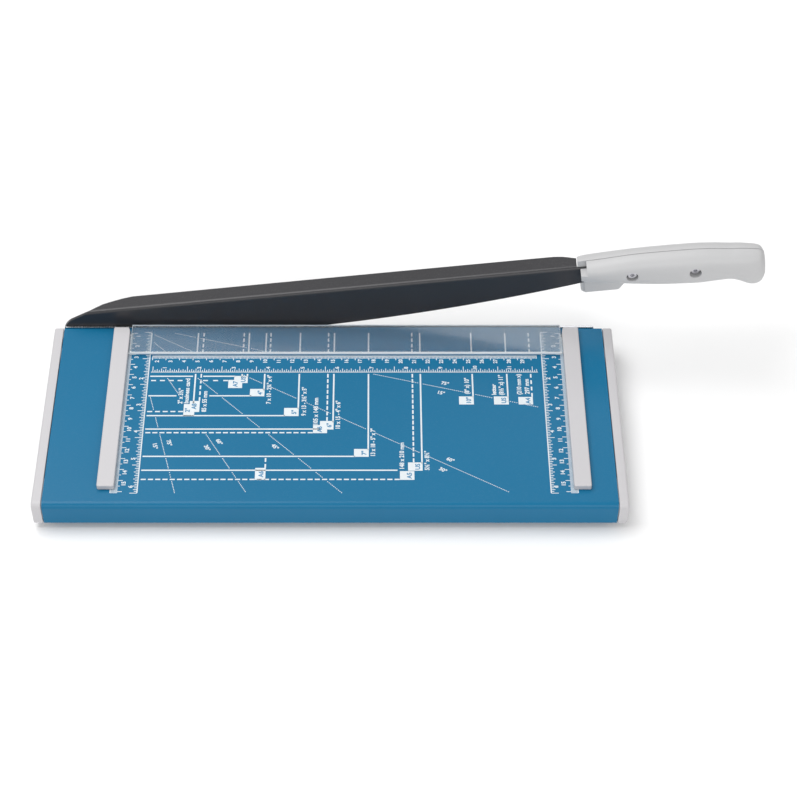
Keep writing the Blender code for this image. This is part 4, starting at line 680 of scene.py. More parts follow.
# --------------------------------------------------------------- sizes shared
LEFT, RIGHT = -0.0500, 0.3526
REAR, FRONT = -0.0018, -0.1716
STAND = 0.0047  # the underside of the table's lips
SHEET = 0.0012
UNDER = TOP - SHEET
BEND, FRONT_BEND = 0.0016, 0.0042
PAST = 0.001  # how far a cutting tool reaches past a face
FENCE_APART, FENCE_WIDE, FENCE_HIGH = 0.322, 0.0123, 0.0042
FENCES = (-FENCE_WIDE / 2, FENCE_APART + FENCE_WIDE / 2)
SIDES = tuple(zip(("left", "right"), FENCES))
POST_Y = -0.02155
FENCE_SCREW_YS = (-0.0090, -0.1453)
CAP_SCREWS = [(x, y) for x in (LEFT + 0.0033, RIGHT - 0.0033) for y in (-0.0069, -0.1665)]
FEET = [(x, y) for x in (LEFT + 0.0066, RIGHT - 0.0066) for y in (-0.0260, FRONT + 0.0200)]
BLADE_SCREWS = [(0.0160 + 0.0965 * i, TOP - 0.0080) for i in range(4)]
HANDLE_SCREWS = [(0.4108, 0.0152), (0.4562, 0.0140)]
# The radii of the holes, and of the smaller one in which a post's screw bites.
POST_HOLE, POST_BORE, PIVOT_HOLE, HANDLE_HOLE = 0.00255, 0.0014, 0.0033, 0.0023
FENCE_SCREW_HOLE, CAP_SCREW_HOLE, BLADE_SCREW_HOLE = 0.0017, 0.0018, 0.0021


# ---------------------------------------------------------------------- table
def table_sheet():
    """The folded sheet, from the path of its outer face, with all its holes."""
    lip = 0.009
    corners = [(REAR - lip, STAND), (REAR, STAND), (REAR, TOP), (FRONT, TOP), (FRONT, STAND),
               (FRONT + lip, STAND)]
    path = rounded_path(corners, (BEND, BEND, FRONT_BEND, BEND), 14)
    bm = bmesh.new()
    verts = [bm.verts.new((LEFT, y, z)) for y, z in path]
    edges = [bm.edges.new(pair) for pair in zip(verts, verts[1:])]
    swept = bmesh.ops.extrude_edge_only(bm, edges=edges)["geom"]
    far = [v for v in swept if isinstance(v, bmesh.types.BMVert)]
    bmesh.ops.translate(bm, verts=far, vec=(RIGHT - LEFT, 0.0, 0.0))
    bmesh.ops.recalc_face_normals(bm, faces=bm.faces)
    if max(bm.faces, key=lambda face: face.calc_center_median().z).normal.z < 0:
        bmesh.ops.reverse_faces(bm, faces=bm.faces)
    sheet = bpy.data.objects.new("sheet", drawn_mesh(bm))
    wall = sheet.modifiers.new("wall", "SOLIDIFY")
    wall.thickness = SHEET
    wall.offset = -1.0
    wall.use_even_offset = True
    low, high = UNDER - PAST, TOP + PAST
    front, rear = REAR - SHEET - PAST, REAR + PAST
    holes = [upright(x, POST_Y, low, high, POST_HOLE) for x in FENCES]
    holes += [upright(x, y, low, high, FENCE_SCREW_HOLE) for x in FENCES for y in FENCE_SCREW_YS]
    holes += [upright(x, y, STAND - PAST, STAND + SHEET + PAST, CAP_SCREW_HOLE) for x, y in CAP_SCREWS]
    holes += [level(x, z, front, rear, BLADE_SCREW_HOLE) for x, z in BLADE_SCREWS]
    holes += [level(PIVOT.x, PIVOT.z, front, rear, PIVOT_HOLE)]
    piece("table_sheet", carved(applied(sheet), joined(holes)), BLUE_PAINT, "base", ["table"])


def end_cap(name, side):
    """A moulded cap, rounded outside, with lugs under the table for screws and feet."""
    thick, outer_round, inner_round, lug_round = 0.0069, 0.0034, 0.0006, 0.0028
    edge = LEFT if side < 0 else RIGHT
    inner = edge + side * 2 * GAP
    outer = inner + side * thick
    outline = rounded_path([(FRONT, TOP / 2), (FRONT, TOP), (REAR, TOP), (REAR, STAND), (FRONT, STAND),
                            (FRONT, TOP / 2)], (FRONT_BEND, BEND, BEND, BEND), 12)[:-1]
    mesh = plate(outline, min(inner, outer), max(inner, outer))
    mesh.transform(SIDEWAYS)
    mesh = rimmed(mesh, 0, ((outer, outer_round, 8), (inner, inner_round, 3)))
    root = inner + side * 0.0036
    rear, front = REAR - SHEET - GAP, FRONT + SHEET + GAP
    low, high = STAND + SHEET + GAP, UNDER - GAP
    for reach, y_low, y_high in ((0.0066, rear - 0.0085, rear), (0.0135, -0.0325, -0.0195),
                                 (0.0135, front, front + 0.026)):
        x_low, x_high = sorted((root, edge - side * reach))
        lug = eased(block((x_low, y_low, low), (x_high, y_high, high)), lug_round, 4)
        mesh = carved(mesh, lug, "UNION")
    holes = [upright(x, y, STAND - PAST, STAND + deep, radius)
             for spots, deep, radius in ((CAP_SCREWS, 0.010, CAP_SCREW_HOLE),
                                         (FEET, SHEET + GAP + 0.0073, 0.0028))
             for x, y in spots if abs(x - edge) < 0.02]
    piece(name + "_moulding", carved(mesh, joined(holes)), PALE_PLASTIC, "base",
          [name], smooth=30)


def fence(name, side):
    """A side rail with rounded corners and a slot underneath for the clamp's tab."""
    inner = 0.0 if side < 0 else FENCE_APART
    outer = inner + side * FENCE_WIDE
    front, rear, bottom = -0.1573, -0.0052, TOP + GAP
    top = bottom + FENCE_HIGH
    corner, rear_corner = (0.0012, 0.0012), (0.0018, 0.0062)
    outline = []
    for x, y, turn, reach in ((outer, front, 180, corner), (inner, front, 270, corner),
                              (inner, rear, 0, rear_corner), (outer, rear, 90, corner)):
        cx = x + side * reach[0] if x == inner else x - side * reach[0]
        cy = y + reach[1] if y == front else y - reach[1]
        outline += [(cx - side * a * reach[0], cy + b * reach[1])
                    for a, b in arc((0, 0), 1.0, turn, turn + 90, 10)]
    mesh = rimmed(plate(outline, bottom, top), 2, ((top, 0.0009, 5), (bottom, 0.0002, 2)))
    x_low, x_high = sorted((inner - side * PAST, inner + side * 0.0101))
    slot = block((x_low, -0.0309, TOP - PAST), (x_high, -0.0122, bottom + 0.0032))
    middle = inner + side * FENCE_WIDE / 2
    holes = [upright(middle, y, TOP - PAST, bottom + 0.003, FENCE_SCREW_HOLE) for y in FENCE_SCREW_YS]
    piece(name + "_moulding", carved(carved(mesh, slot), joined(holes)), PALE_PLASTIC, "base",
          [name], smooth=30)


# ---------------------------------------------------------------------- screws
def screws_from_below():
    """The screws of the end caps and of the fences."""
    pan_screws("end_cap_screws", [(x, y, STAND - GAP) for x, y in CAP_SCREWS], 0.0030, 0.0018, 0.0015,
               0.0100, numbered("end_cap_screw", 4))
    rear_y, front_y = FENCE_SCREW_YS
    for end, y, seat in (("front", front_y, UNDER - GAP), ("rear", rear_y, UNDER - 0.0036)):
        pan_screws("fence_screws_" + end, [(x, y, seat) for x in FENCES], 0.0027, 0.0016, 0.0014,
                   TOP + 0.0030 - seat, ["fence_screw_%s_%s" % (name, end) for name, _ in SIDES])


def hex_nut(flats, thickness, bore):
    """A nut on Z with turned-down corners."""
    prism = upright(0.0, 0.0, -PAST, thickness + PAST, flats / math.sqrt(3), 6)
    wide, flat, drop = flats * 0.62, flats * 0.48, thickness * 0.14
    barrel = turned([(bore, 0.0), (flat, 0.0), (wide, drop), (wide, thickness - drop), (flat, thickness),
                     (bore, thickness)], 44)
    return carved(barrel, prism, "INTERSECT")


def washer(outer, inner, thickness):
    ease = thickness * 0.15
    return turned([(inner, 0.0), (inner, thickness), (outer - ease, thickness), (outer, thickness - ease),
                   (outer, ease), (outer - ease, 0.0)])


def lower_blade():
    """The lower blade on the rear flange, its countersunk screws and their nuts."""
    left, long, thick, tall, nut_thick = LEFT + 0.0005, 0.396, 0.0015, 0.016, 0.0028
    nut_rear = REAR - SHEET - GAP
    tip = nut_rear - nut_thick - 0.0009
    sink = turned([(0.0, -0.003), (BLADE_SCREW_HOLE, -0.003), (BLADE_SCREW_HOLE, -0.0012), (0.0043, PAST),
                   (0.0, PAST)])
    spots = [(x, 0.0, z) for x, z in BLADE_SCREWS]
    holes = [level(PIVOT.x, PIVOT.z, -thick - PAST, PAST, PIVOT_HOLE), set_out(sink, spots, ALONG_Y)]
    strip = carved(block((left, -thick, TOP - tall), (left + long, 0.0, TOP)), joined(holes))
    piece("lower_blade_strip", eased(strip, 0.0001), GROUND_STEEL, "base", ["lower_blade"])
    screw = turned([(0.0, -0.0001), (0.0030, -0.0001), (0.0030, -0.0003), (0.0018, -0.0015),
                    (0.0018, tip + 0.0003), (0.0014, tip), (0.0, tip)], 40)
    cross = joined([block((-x, -y, -0.0009), (x, y, PAST)) for x, y in ((0.0018, 0.0003), (0.0003, 0.0018))])
    screw = carved(screw, cross, overlaps=True)
    zinc_piece("lower_blade_screws", set_out(screw, spots, ALONG_Y), numbered("lower_blade_screw", 4))
    nut = hex_nut(0.0070, nut_thick, BLADE_SCREW_HOLE)
    zinc_piece("lower_blade_nuts", set_out(nut, [(x, nut_rear, z) for x, z in BLADE_SCREWS], FACING),
               numbered("lower_blade_nut", 4))


def feet():
    """Rubber feet, pressed into the lugs of the end caps."""
    seat = STAND + SHEET
    plug = seat + GAP + 0.007
    foot = turned([(0.0, plug), (0.0022, plug), (0.0025, plug - 0.0004), (0.0025, seat), (0.0053, seat),
                   (0.0056, seat - 0.0003), (0.0056, 0.0008), (0.0054, 0.0003), (0.0048, 0.0),
                   (0.0034, 0.0), (0.0031, 0.0005), (0.0, 0.0005)])
    piece("rubber_feet", set_out(foot, [(x, y, 0.0) for x, y in FEET]), RUBBER, "base",
          numbered("foot", 4))


# ---------------------------------------------------------------------- clamp
def clamp():
    """The clear bar that holds the paper, with its posts, springs and guides."""
    front, rear, face, thick = -0.0306, -0.0025, TOP + 0.0014, 0.0028
    washer_thick, post = 0.0012, 0.0025
    sheet = eased(block((0.0011, front, face), (0.3209, rear, face + thick)), 0.0007, 3)
    tabs = block((-0.0098, front + 0.0004, face), (0.3318, -0.0125, face + 0.0018))
    bores = [upright(x, POST_Y, face - PAST, face + 0.0013, POST_BORE) for x in FENCES]
    sheet = carved(carved(sheet, tabs, "UNION"), joined(bores))
    sawn = [int(abs(polygon.normal.z) < 0.95) for polygon in sheet.polygons]
    looks = [clear_sheet("clear_clamp_sheet", 0.95, 0.16), clear_sheet("sawn_clamp_edge", 0.22, 0.42)]
    clear = piece("clear_clamp", sheet, looks, "clamp", ["clamp_plate"])
    clear.data.polygons.foreach_set("material_index", sawn)

    stop = UNDER - GAP - washer_thick
    seat = stop - GAP
    sleeve = turned([(POST_BORE, face - GAP), (POST_BORE, UNDER), (post, UNDER), (post, face - GAP)])
    parts = [set_out(washer(0.0047, POST_BORE, washer_thick), [(x, POST_Y, stop) for x in FENCES]),
             set_out(sleeve, [(x, POST_Y, 0.0) for x in FENCES])]
    zinc_piece("clamp_posts_and_washers", joined(parts),
               ["clamp_%s_%s" % (part, name) for part in ("post", "stop_washer") for name, _ in SIDES], "clamp")
    pan_screws("clamp_stop_screws", [(x, POST_Y, seat) for x in FENCES], 0.0025, 0.0015, 0.0011,
               face + 0.0010 - seat, ["clamp_stop_screw_left", "clamp_stop_screw_right"], "clamp")

    low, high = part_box("clamp_spring_left")
    wire_radius = 0.0004
    for name, x in SIDES:
        values = {"Coil Radius": 0.0037, "Wire Radius": wire_radius, "Turns": 5.0,
                  "Height": high.z - low.z - 2 * wire_radius, "Material": SPRING_STEEL}
        mesh = grown(SPRINGS, values, points_mesh([(x, POST_Y, low.z + wire_radius)]))
        spring = piece("clamp_spring_wire_" + name, mesh, SPRING_STEEL, "base",
                       ["clamp_spring_" + name], smooth=60)
        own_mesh(spring)
    top, screw_y = UNDER - GAP, FENCE_SCREW_YS[0]
    for name, x in SIDES:
        guide = block((x - 0.0075, POST_Y - 0.0066, top - 0.003), (x + 0.0075, -0.0040, top))
        cup = eased(upright(x, POST_Y, top - 0.016, top - 0.0015, 0.0066, 48), 0.0005)
        hollows = [upright(x, POST_Y, top - 0.0145, top + PAST, 0.0052, 48),
                   upright(x, screw_y, top - 0.005, top + PAST, FENCE_SCREW_HOLE)]
        guide = carved(carved(eased(guide, 0.0004), cup, "UNION"), joined(hollows))
        piece("clamp_guide_moulding_" + name, guide, BLACK_PLASTIC, "base",
              ["clamp_guide_" + name])


# ---------------------------------------------------------------------- pivot
def pivot():
    """The bolt of the hinge and all that it holds; places are along Y from the cut."""
    along, facing = (ON_BASE @ (Matrix.Translation(PIVOT) @ turn) for turn in (ALONG_Y, FACING))
    washer_thick, plate_thick, disc_deep, nut_thick = 0.0010, 0.0040, 0.0013, 0.0040
    bush_rear = 0.0025 + GAP + 0.0040
    washer_rear = bush_rear + GAP + washer_thick
    seat = washer_rear + GAP
    top = seat + 0.0042
    plate_rear = REAR - SHEET - GAP
    plate_front = plate_rear - plate_thick
    disc_rear = plate_front - GAP
    nut_washer_rear = disc_rear - disc_deep - GAP
    nut_rear = nut_washer_rear - washer_thick - GAP
    tip = nut_rear - nut_thick - 0.0010
    bolt = turned([(0.0, top), (0.0054, top), (0.0060, top - 0.0002), (0.0062, top - 0.0008),
                   (0.0062, seat), (0.0030, seat), (0.0030, tip + 0.0005), (0.0025, tip), (0.0, tip)], 56)
    bolt = carved(bolt, upright(0, 0, top - 0.0022, top + PAST, 0.0027, 6))
    zinc_piece("pivot_socket_bolt", bolt, ["pivot_bolt"], turn=along)
    for name, rear, radius in (("pivot_head_washer", washer_rear, 0.0072),
                               ("pivot_nut_washer", nut_washer_rear, 0.0053)):
        ring = moved(washer(radius, PIVOT_HOLE, washer_thick), (0.0, 0.0, -rear))
        zinc_piece(name + "_ring", ring, [name], turn=facing)
    disc = turned([(PIVOT_HOLE, disc_deep), (0.0051, 0.0007), (0.0051, 0.0), (PIVOT_HOLE, 0.0006)])
    piece("pivot_dished_spring", moved(disc, (0.0, 0.0, -disc_rear)), SPRING_STEEL, "base",
          ["pivot_disc_spring"], facing)
    nut = moved(hex_nut(0.0100, nut_thick, PIVOT_HOLE), (0.0, 0.0, -nut_rear))
    zinc_piece("pivot_lock_nut", nut, ["pivot_nut"], turn=facing)
    r, high, low = 0.0020, UNDER - GAP, UNDER - GAP - 0.0160
    left, right = PIVOT.x - 0.0065, PIVOT.x + 0.0180
    outline = (arc((left + r, low + r), r, 180, 270) + arc((right - r, low + r), r, 270, 360)
               + arc((right - r, high - r), r, 0, 90) + arc((left + r, high - r), r, 90, 180))
    stiffener = plate(outline, -plate_rear, -plate_front)
    stiffener.transform(FACING)
    bore = level(PIVOT.x, PIVOT.z, plate_front - PAST, plate_rear + PAST, PIVOT_HOLE)
    zinc_piece("pivot_stiffener", eased(carved(stiffener, bore), 0.0002), ["pivot_plate"])
    bush = turned([(0.0031, bush_rear), (0.0073, bush_rear), (0.0076, bush_rear - 0.0003), (0.0076, 0.0028),
                   (0.0046, 0.0028), (0.0046, GAP), (0.0031, GAP)])
    piece("pivot_bush_turned", bush, BRASS, "arm", ["pivot_bush"], ON_ARM @ ALONG_Y)


# ------------------------------------------------------------------------ arm
# Along the arm from the pivot; heights are from the pivot too.
EDGE_START, BLADE_END, FLANGE_START, FLANGE_END, TANG_END = 0.036, 0.3756, 0.0080, 0.3715, 0.4650
ARM_TOP, ARM_SHEET = 0.0199, 0.0022
# The cutting edge is an arc, lowest at EDGE_X.
EDGE_CURVE, EDGE_X, EDGE_LOW = 1.3150, 0.140, -0.0169


def edge_height(x):
    return EDGE_CURVE + EDGE_LOW - math.sqrt(EDGE_CURVE ** 2 - (x - EDGE_X) ** 2)


def arm_stamping():
    """The arm and upper blade: a folded section cut to its side and its plan, then
    ground along the edge."""
    front, rear, top, thick = GAP, GAP + ARM_SHEET, ARM_TOP, ARM_SHEET
    flange, bend, ease, nose, nose_left = 0.014, 0.0026, 0.0006, 0.0152, -0.017
    land, grind, steps = GAP + 0.0006, 0.0045, 110
    back = front + flange
    inside = bend - thick
    section = ([(front, -0.04)] + arc((front + bend, top - bend), bend, 180, 90, 12)
               + arc((back - ease, top - ease), ease, 90, 0, 4)
               + arc((back - ease, top - thick + ease), ease, 0, -90, 4)
               + arc((rear + inside, top - thick - inside), inside, 90, 180, 4) + [(rear, -0.04)])
    mesh = plate(section, -nose - PAST, TANG_END + PAST)
    mesh.transform(SIDEWAYS)

    corner, tang_low, tang_high = 0.003, 0.0075, 0.0192
    side = arc((0.0, 0.0), nose, 270, 114, 36) + [(FLANGE_START, top), (FLANGE_END, top)]
    side += [(FLANGE_END, tang_high)] + arc((TANG_END - corner, tang_high - corner), corner, 90, 0, 6)
    side += arc((TANG_END - corner, tang_low + corner), corner, 0, -90, 6) + [(BLADE_END, tang_low)]
    along = [BLADE_END + (EDGE_START - BLADE_END) * i / steps for i in range(steps + 1)]
    profile = plate(side + [(x, edge_height(x)) for x in along], -0.015, 0.015)
    profile.transform(FACING)
    mesh = carved(mesh, profile, "INTERSECT")

    # The flange narrows towards both ends: shares of each taper and of its width.
    left_taper, right_taper = 0.032, 0.025
    right = [(0.0, 0.72), (0.10, 0.765), (0.25, 0.85), (0.4, 0.92), (0.65, 0.975), (1.0, 1.0)]
    left = [(1.0, 0.93), (0.75, 0.83), (0.5, 0.68), (0.3, 0.54)]
    plan = [(nose_left, front - PAST), (TANG_END + PAST, front - PAST), (TANG_END + PAST, rear)]
    plan += [(FLANGE_END, rear)] + [(FLANGE_END - right_taper * a, front + flange * d) for a, d in right]
    plan += [(FLANGE_START + left_taper * a, front + flange * d) for a, d in left]
    plan += [(FLANGE_START, rear), (nose_left, rear)]
    mesh = carved(mesh, plate(plan, -0.05, 0.05), "INTERSECT")
    holes = [level(0.0, 0.0, -0.02, 0.02, 0.0049, 48)]
    holes += [level(x, z, -0.02, 0.02, HANDLE_HOLE) for x, z in HANDLE_SCREWS]
    mesh = carved(mesh, joined(holes))

    centre = (EDGE_X, 0.0, EDGE_CURVE + EDGE_LOW)
    slope = (rear - land) / grind
    start, end = (math.asin((x - EDGE_X) / EDGE_CURVE) for x in (EDGE_START - PAST, BLADE_END + PAST))
    bm = bmesh.new()
    wedge = [bm.verts.new((EDGE_X, y, EDGE_LOW + h)) for y, h in (
        (land - slope * PAST, -PAST), (rear + PAST, -PAST), (rear + PAST, grind + PAST / slope))]
    face = bm.faces.new(wedge)
    bmesh.ops.rotate(bm, verts=wedge, cent=centre, matrix=Matrix.Rotation(-start, 3, "Y"))
    bmesh.ops.spin(bm, geom=[face], cent=centre, axis=(0.0, -1.0, 0.0), angle=end - start, steps=steps)
    mesh = carved(mesh, mesh_of(bm))
    ground = []
    for polygon in mesh.polygons:
        x, _, z = polygon.center
        leans = abs(polygon.normal.x) < 0.9 and polygon.normal.z < -0.2 and polygon.normal.y > 0.2
        low = EDGE_START - 0.002 < x < BLADE_END and z < edge_height(x) + 0.006
        ground.append(int(leans and low))
    arm = piece("arm_stamping", mesh, [ARM_STEEL, GRIND_STEEL], "arm", ["arm"], ON_ARM, 28)
    arm.data.polygons.foreach_set("material_index", ground)


# --------------------------------------------------------------------- handle
# Shares of the handle's length, then its middle, half height and half width there.
HANDLE_SHARES = (
    (0.000, 0.150, 0.260, 0.350), (0.030, 0.145, 0.276, 0.400), (0.100, 0.128, 0.306, 0.440),
    (0.180, 0.106, 0.354, 0.455), (0.250, 0.084, 0.402, 0.460), (0.320, 0.064, 0.438, 0.470),
    (0.430, 0.028, 0.474, 0.490), (0.540, 0.003, 0.492, 0.500), (0.650, -0.020, 0.500, 0.500),
    (0.750, -0.032, 0.464, 0.485), (0.820, -0.056, 0.440, 0.475), (0.870, -0.118, 0.486, 0.475),
    (0.915, -0.195, 0.534, 0.470), (0.955, -0.222, 0.530, 0.440), (0.985, -0.205, 0.455, 0.370),
    (1.000, -0.190, 0.300, 0.250))
HANDLE_AT, HANDLE_LONG, HANDLE_UP, HANDLE_TALL, HANDLE_WIDE = 0.3720, 0.1348, 0.0130, 0.0298, 0.0244
MIDDLE = GAP + ARM_SHEET / 2
SCREW_SEAT, NUT_SEAT = 0.0062, 0.0066  # how far the floors of the recesses are from the middle


def handle_size(share):
    """The middle's height, half height and half width, on a smooth curve by the shares."""
    rows = HANDLE_SHARES
    i = max(n for n in range(len(rows) - 1) if share >= rows[n][0] or n == 0)
    before, first, second, after = rows[max(i - 1, 0)], rows[i], rows[i + 1], rows[min(i + 2, len(rows) - 1)]
    run = second[0] - first[0]
    t = (share - first[0]) / run
    values = []
    for k in (1, 2, 3):
        slope_in = (second[k] - before[k]) / max(second[0] - before[0], run) * run
        slope_out = (after[k] - first[k]) / max(after[0] - first[0], run) * run
        values.append((2 * t ** 3 - 3 * t ** 2 + 1) * first[k] + (t ** 3 - 2 * t ** 2 + t) * slope_in
                      + (-2 * t ** 3 + 3 * t ** 2) * second[k] + (t ** 3 - t ** 2) * slope_out)
    return HANDLE_UP + values[0] * HANDLE_TALL, values[1] * HANDLE_TALL, values[2] * HANDLE_WIDE


def handle_shell(side, start):
    """One moulded half: rounded sections along the handle, eased at the seam."""
    rounding, angles, steps, end_round = 2.35, 36, 90, 0.0012
    rear_wider, draft_wide, draft_tall, flank = 1.10, 0.00025, 0.0001, 0.0009
    power, easing = 2 / rounding, 0.0006
    deeps = (0.0, 0.00008, 0.0002, 0.0004, easing)
    first_share = start / HANDLE_LONG
    shares = [first_share] + [i / steps for i in range(steps + 1) if i / steps > first_share + 0.004]
    # Sections lie closer together towards both ends.
    shares = [s - 0.03 * math.sin(2 * math.pi * s) * min(s / 0.25, 1) for s in shares]
    seam = MIDDLE + side * GAP / 2
    bm = bmesh.new()
    rings = []
    for share in shares:
        centre, half_height, half_width = handle_size(min(max(share, 0.0), 1.0))
        half_width = half_width * (rear_wider if side > 0 else 1.0) - draft_wide
        half_height -= draft_tall
        points = [(deep, half_height * (1 - (deep / half_width) ** rounding) ** (1 / rounding))
                  for deep in deeps]
        first = math.acos(min((flank / half_width) ** (1 / power), 1.0))
        for j in range(angles + 1):
            angle = first - 2 * first * j / angles
            c, s = math.cos(angle), math.sin(angle)
            points.append((c ** power * half_width, math.copysign(abs(s) ** power, s) * half_height))
        points += [(deep, -high) for deep, high in reversed(points[:len(deeps)])]
        ring = []
        for deep, high in points:
            if deep < easing:
                high -= math.copysign(easing - math.sqrt(easing ** 2 - (easing - deep) ** 2), high)
            ring.append(bm.verts.new((HANDLE_AT + share * HANDLE_LONG, seam + side * deep, centre + high)))
        rings.append(ring)
    for one, two in zip(rings, rings[1:]):
        for j in range(len(one)):
            k = (j + 1) % len(one)
            bm.faces.new((one[j], one[k], two[k], two[j]))
    bm.faces.new(rings[0])
    bm.faces.new(rings[-1][::-1])
    end_x = HANDLE_AT + shares[-1] * HANDLE_LONG
    rim = [edge for edge in bm.edges if all(abs(v.co.x - end_x) < 0.000001 for v in edge.verts)]
    round_off(bm, rim, end_round, 4)
    return mesh_of(bm, merge=0.0000005)


def handle_half(name, side):
    """One half, hollowed for the arm and the screws; the rear half has the guard."""
    at_rear = side > 0
    far, pocket = HANDLE_AT - PAST, 0.0028
    mesh = handle_shell(side, 0.0 if at_rear else 0.0020)
    floor = NUT_SEAT if at_rear else SCREW_SEAT
    bore = turned([(0.0, -0.02), (HANDLE_HOLE, -0.02), (HANDLE_HOLE, floor), (0.0043, floor), (0.0046, 0.03),
                   (0.0, 0.03)])
    tools = [block((far, 0.0, 0.0072), (TANG_END + GAP, pocket, 0.0195)),
             block((far, 0.0, -0.0152), (BLADE_END + GAP, pocket, 0.0192))]
    tools += [moved(bore.copy(), (x, MIDDLE, z), ALONG_Y if at_rear else FACING) for x, z in HANDLE_SCREWS]
    for tool in tools:
        mesh = carved(mesh, tool)
    if at_rear:
        left, low, r, long, deep = HANDLE_AT + 0.001, -0.0086, 0.004, 0.034, 0.008
        right = left + long
        outline = ([(right, 0.013), (left, 0.013)] + arc((left + r, low + r), r, 180, 270, 10)
                   + arc((right - 2 * r, low + r), r, 270, 320, 8) + [(right, 0.0)])
        seam = MIDDLE + GAP / 2
        guard = plate(outline, -(seam + deep), -seam)
        guard.transform(FACING)
        guard = eased(guard, 0.0016, 5, 60)
        for tool in tools[:3]:
            guard = carved(guard, tool)
        mesh = carved(mesh, guard, "UNION")
    else:
        mesh = carved(mesh, block((far, -0.03, 0.0189), (HANDLE_AT + 0.0065, 0.0025, 0.05)))
    piece(name + "_moulding", mesh, HANDLE_PLASTIC, "arm", [name], ON_ARM, 32)


def handle_fasteners():
    """The two socket screws from the front, and their nuts in the rear half."""
    nut_thick, head = 0.0028, 0.0026
    seat, nut_front = MIDDLE - SCREW_SEAT - GAP, MIDDLE + NUT_SEAT + GAP
    tip, crown = nut_front + nut_thick, seat - head
    screw = turned([(0.0, tip), (0.0016, tip), (0.0020, tip - 0.0004), (0.0020, seat), (0.0034, seat),
                    (0.0034, crown + 0.0006), (0.0033, crown + 0.0002), (0.0031, crown), (0.0, crown)])
    screw = carved(screw, upright(0, 0, crown - PAST, seat - 0.0012, 0.0017, 6))
    nut = hex_nut(0.0064, nut_thick, HANDLE_HOLE)
    for name, shape, y, node in (("handle_socket_screws", screw, 0.0, "handle_screw"),
                                 ("handle_hex_nuts", nut, nut_front, "handle_nut")):
        zinc_piece(name, set_out(shape, [(x, y, z) for x, z in HANDLE_SCREWS], ALONG_Y),
                   numbered(node, 2), "arm", ON_ARM)


# ---------------------------------------------------------------------- print
INK_LOW, INK_HIGH = TOP + 0.000004, TOP + 0.000040
INK_DEEP = INK_HIGH - INK_LOW


def ink(x, y):
    """A place on the table, right of the left fence and towards the user, in mm."""
    return Vector((x / 1000, -y / 1000, INK_LOW))


def ticks(count, spacing, width, plain, steps):
    """Ruler ticks; each step gives every how many ticks a longer one comes."""
    values = {"Count": count, "Spacing": spacing, "Ink Width": width, "Ink Height": INK_DEEP,
              "Plain Length": plain, "Material": WHITE_INK}
    for label, (every, length) in zip("ABC", steps):
        values["Every " + label] = every
        values["Length " + label] = length
    return grown(RULER_TICKS, values)


def bar(x0, y0, x1, y1):
    low = ink(min(x0, x1), max(y0, y1))
    high = ink(max(x0, x1), min(y0, y1))
    return block(low, (high.x, high.y, INK_HIGH))


def strokes(lines, width):
    """Straight printed lines of one width, each from its two ends."""
    made = []
    for x0, y0, x1, y1 in lines:
        start, end = ink(x0, y0), ink(x1, y1)
        run = end - start
        shape = block((0.0, -width / 2, 0.0), (run.length, width / 2, INK_DEEP))
        made.append(moved(shape, start, Matrix.Rotation(math.atan2(run.y, run.x), 4, "Z")))
    return made


def merged(shapes):
    """One closed mesh round shapes that overlap, by a cut that misses them all."""
    far = block((0.0, 0.0, -1.0), (0.001, 0.001, -0.999))
    return carved(joined(shapes), far, overlaps=True)


def dashed(lines, pitch, dash, width):
    """Broken lines; the first and the last dash stay inside each line's ends."""
    points = []
    for x0, y0, x1, y1 in lines:
        start, end = ink(x0, y0), ink(x1, y1)
        inset = (end - start).normalized() * (dash / 2)
        points += [tuple(start + inset), tuple(end - inset)]
    paths = bpy.data.meshes.new("paths")
    paths.from_pydata(points, [(2 * i, 2 * i + 1) for i in range(len(lines))], [])
    return grown(DASHES, {"Pitch": pitch, "Dash": dash, "Ink Width": width, "Ink Height": INK_DEEP,
                          "Material": WHITE_INK}, paths)


def lettering(words, x, y, height, turn=90.0, deep=INK_DEEP):
    """Printed figures, centred on a place, as a thin closed mesh; the height is in mm."""
    size_for_height, bold = 1.38, 0.032
    curve = bpy.data.curves.new("figures", "FONT")
    curve.body = words
    curve.size = height / 1000 * size_for_height
    curve.align_x = "CENTER"
    curve.align_y = "CENTER"
    curve.extrude = deep / 2
    curve.offset = curve.size * bold
    curve.resolution_u = 3
    bm = bmesh.new()
    bm.from_mesh(applied(bpy.data.objects.new("figures", curve)))
    return moved(mesh_of(bm, merge=0.0000005), ink(x, y) + Vector((0.0, 0.0, deep / 2)),
                 Matrix.Rotation(math.radians(turn), 4, "Z"))


def printed(name, meshes, look=WHITE_INK):
    piece(name, joined(meshes), look, "base").modifiers.clear()


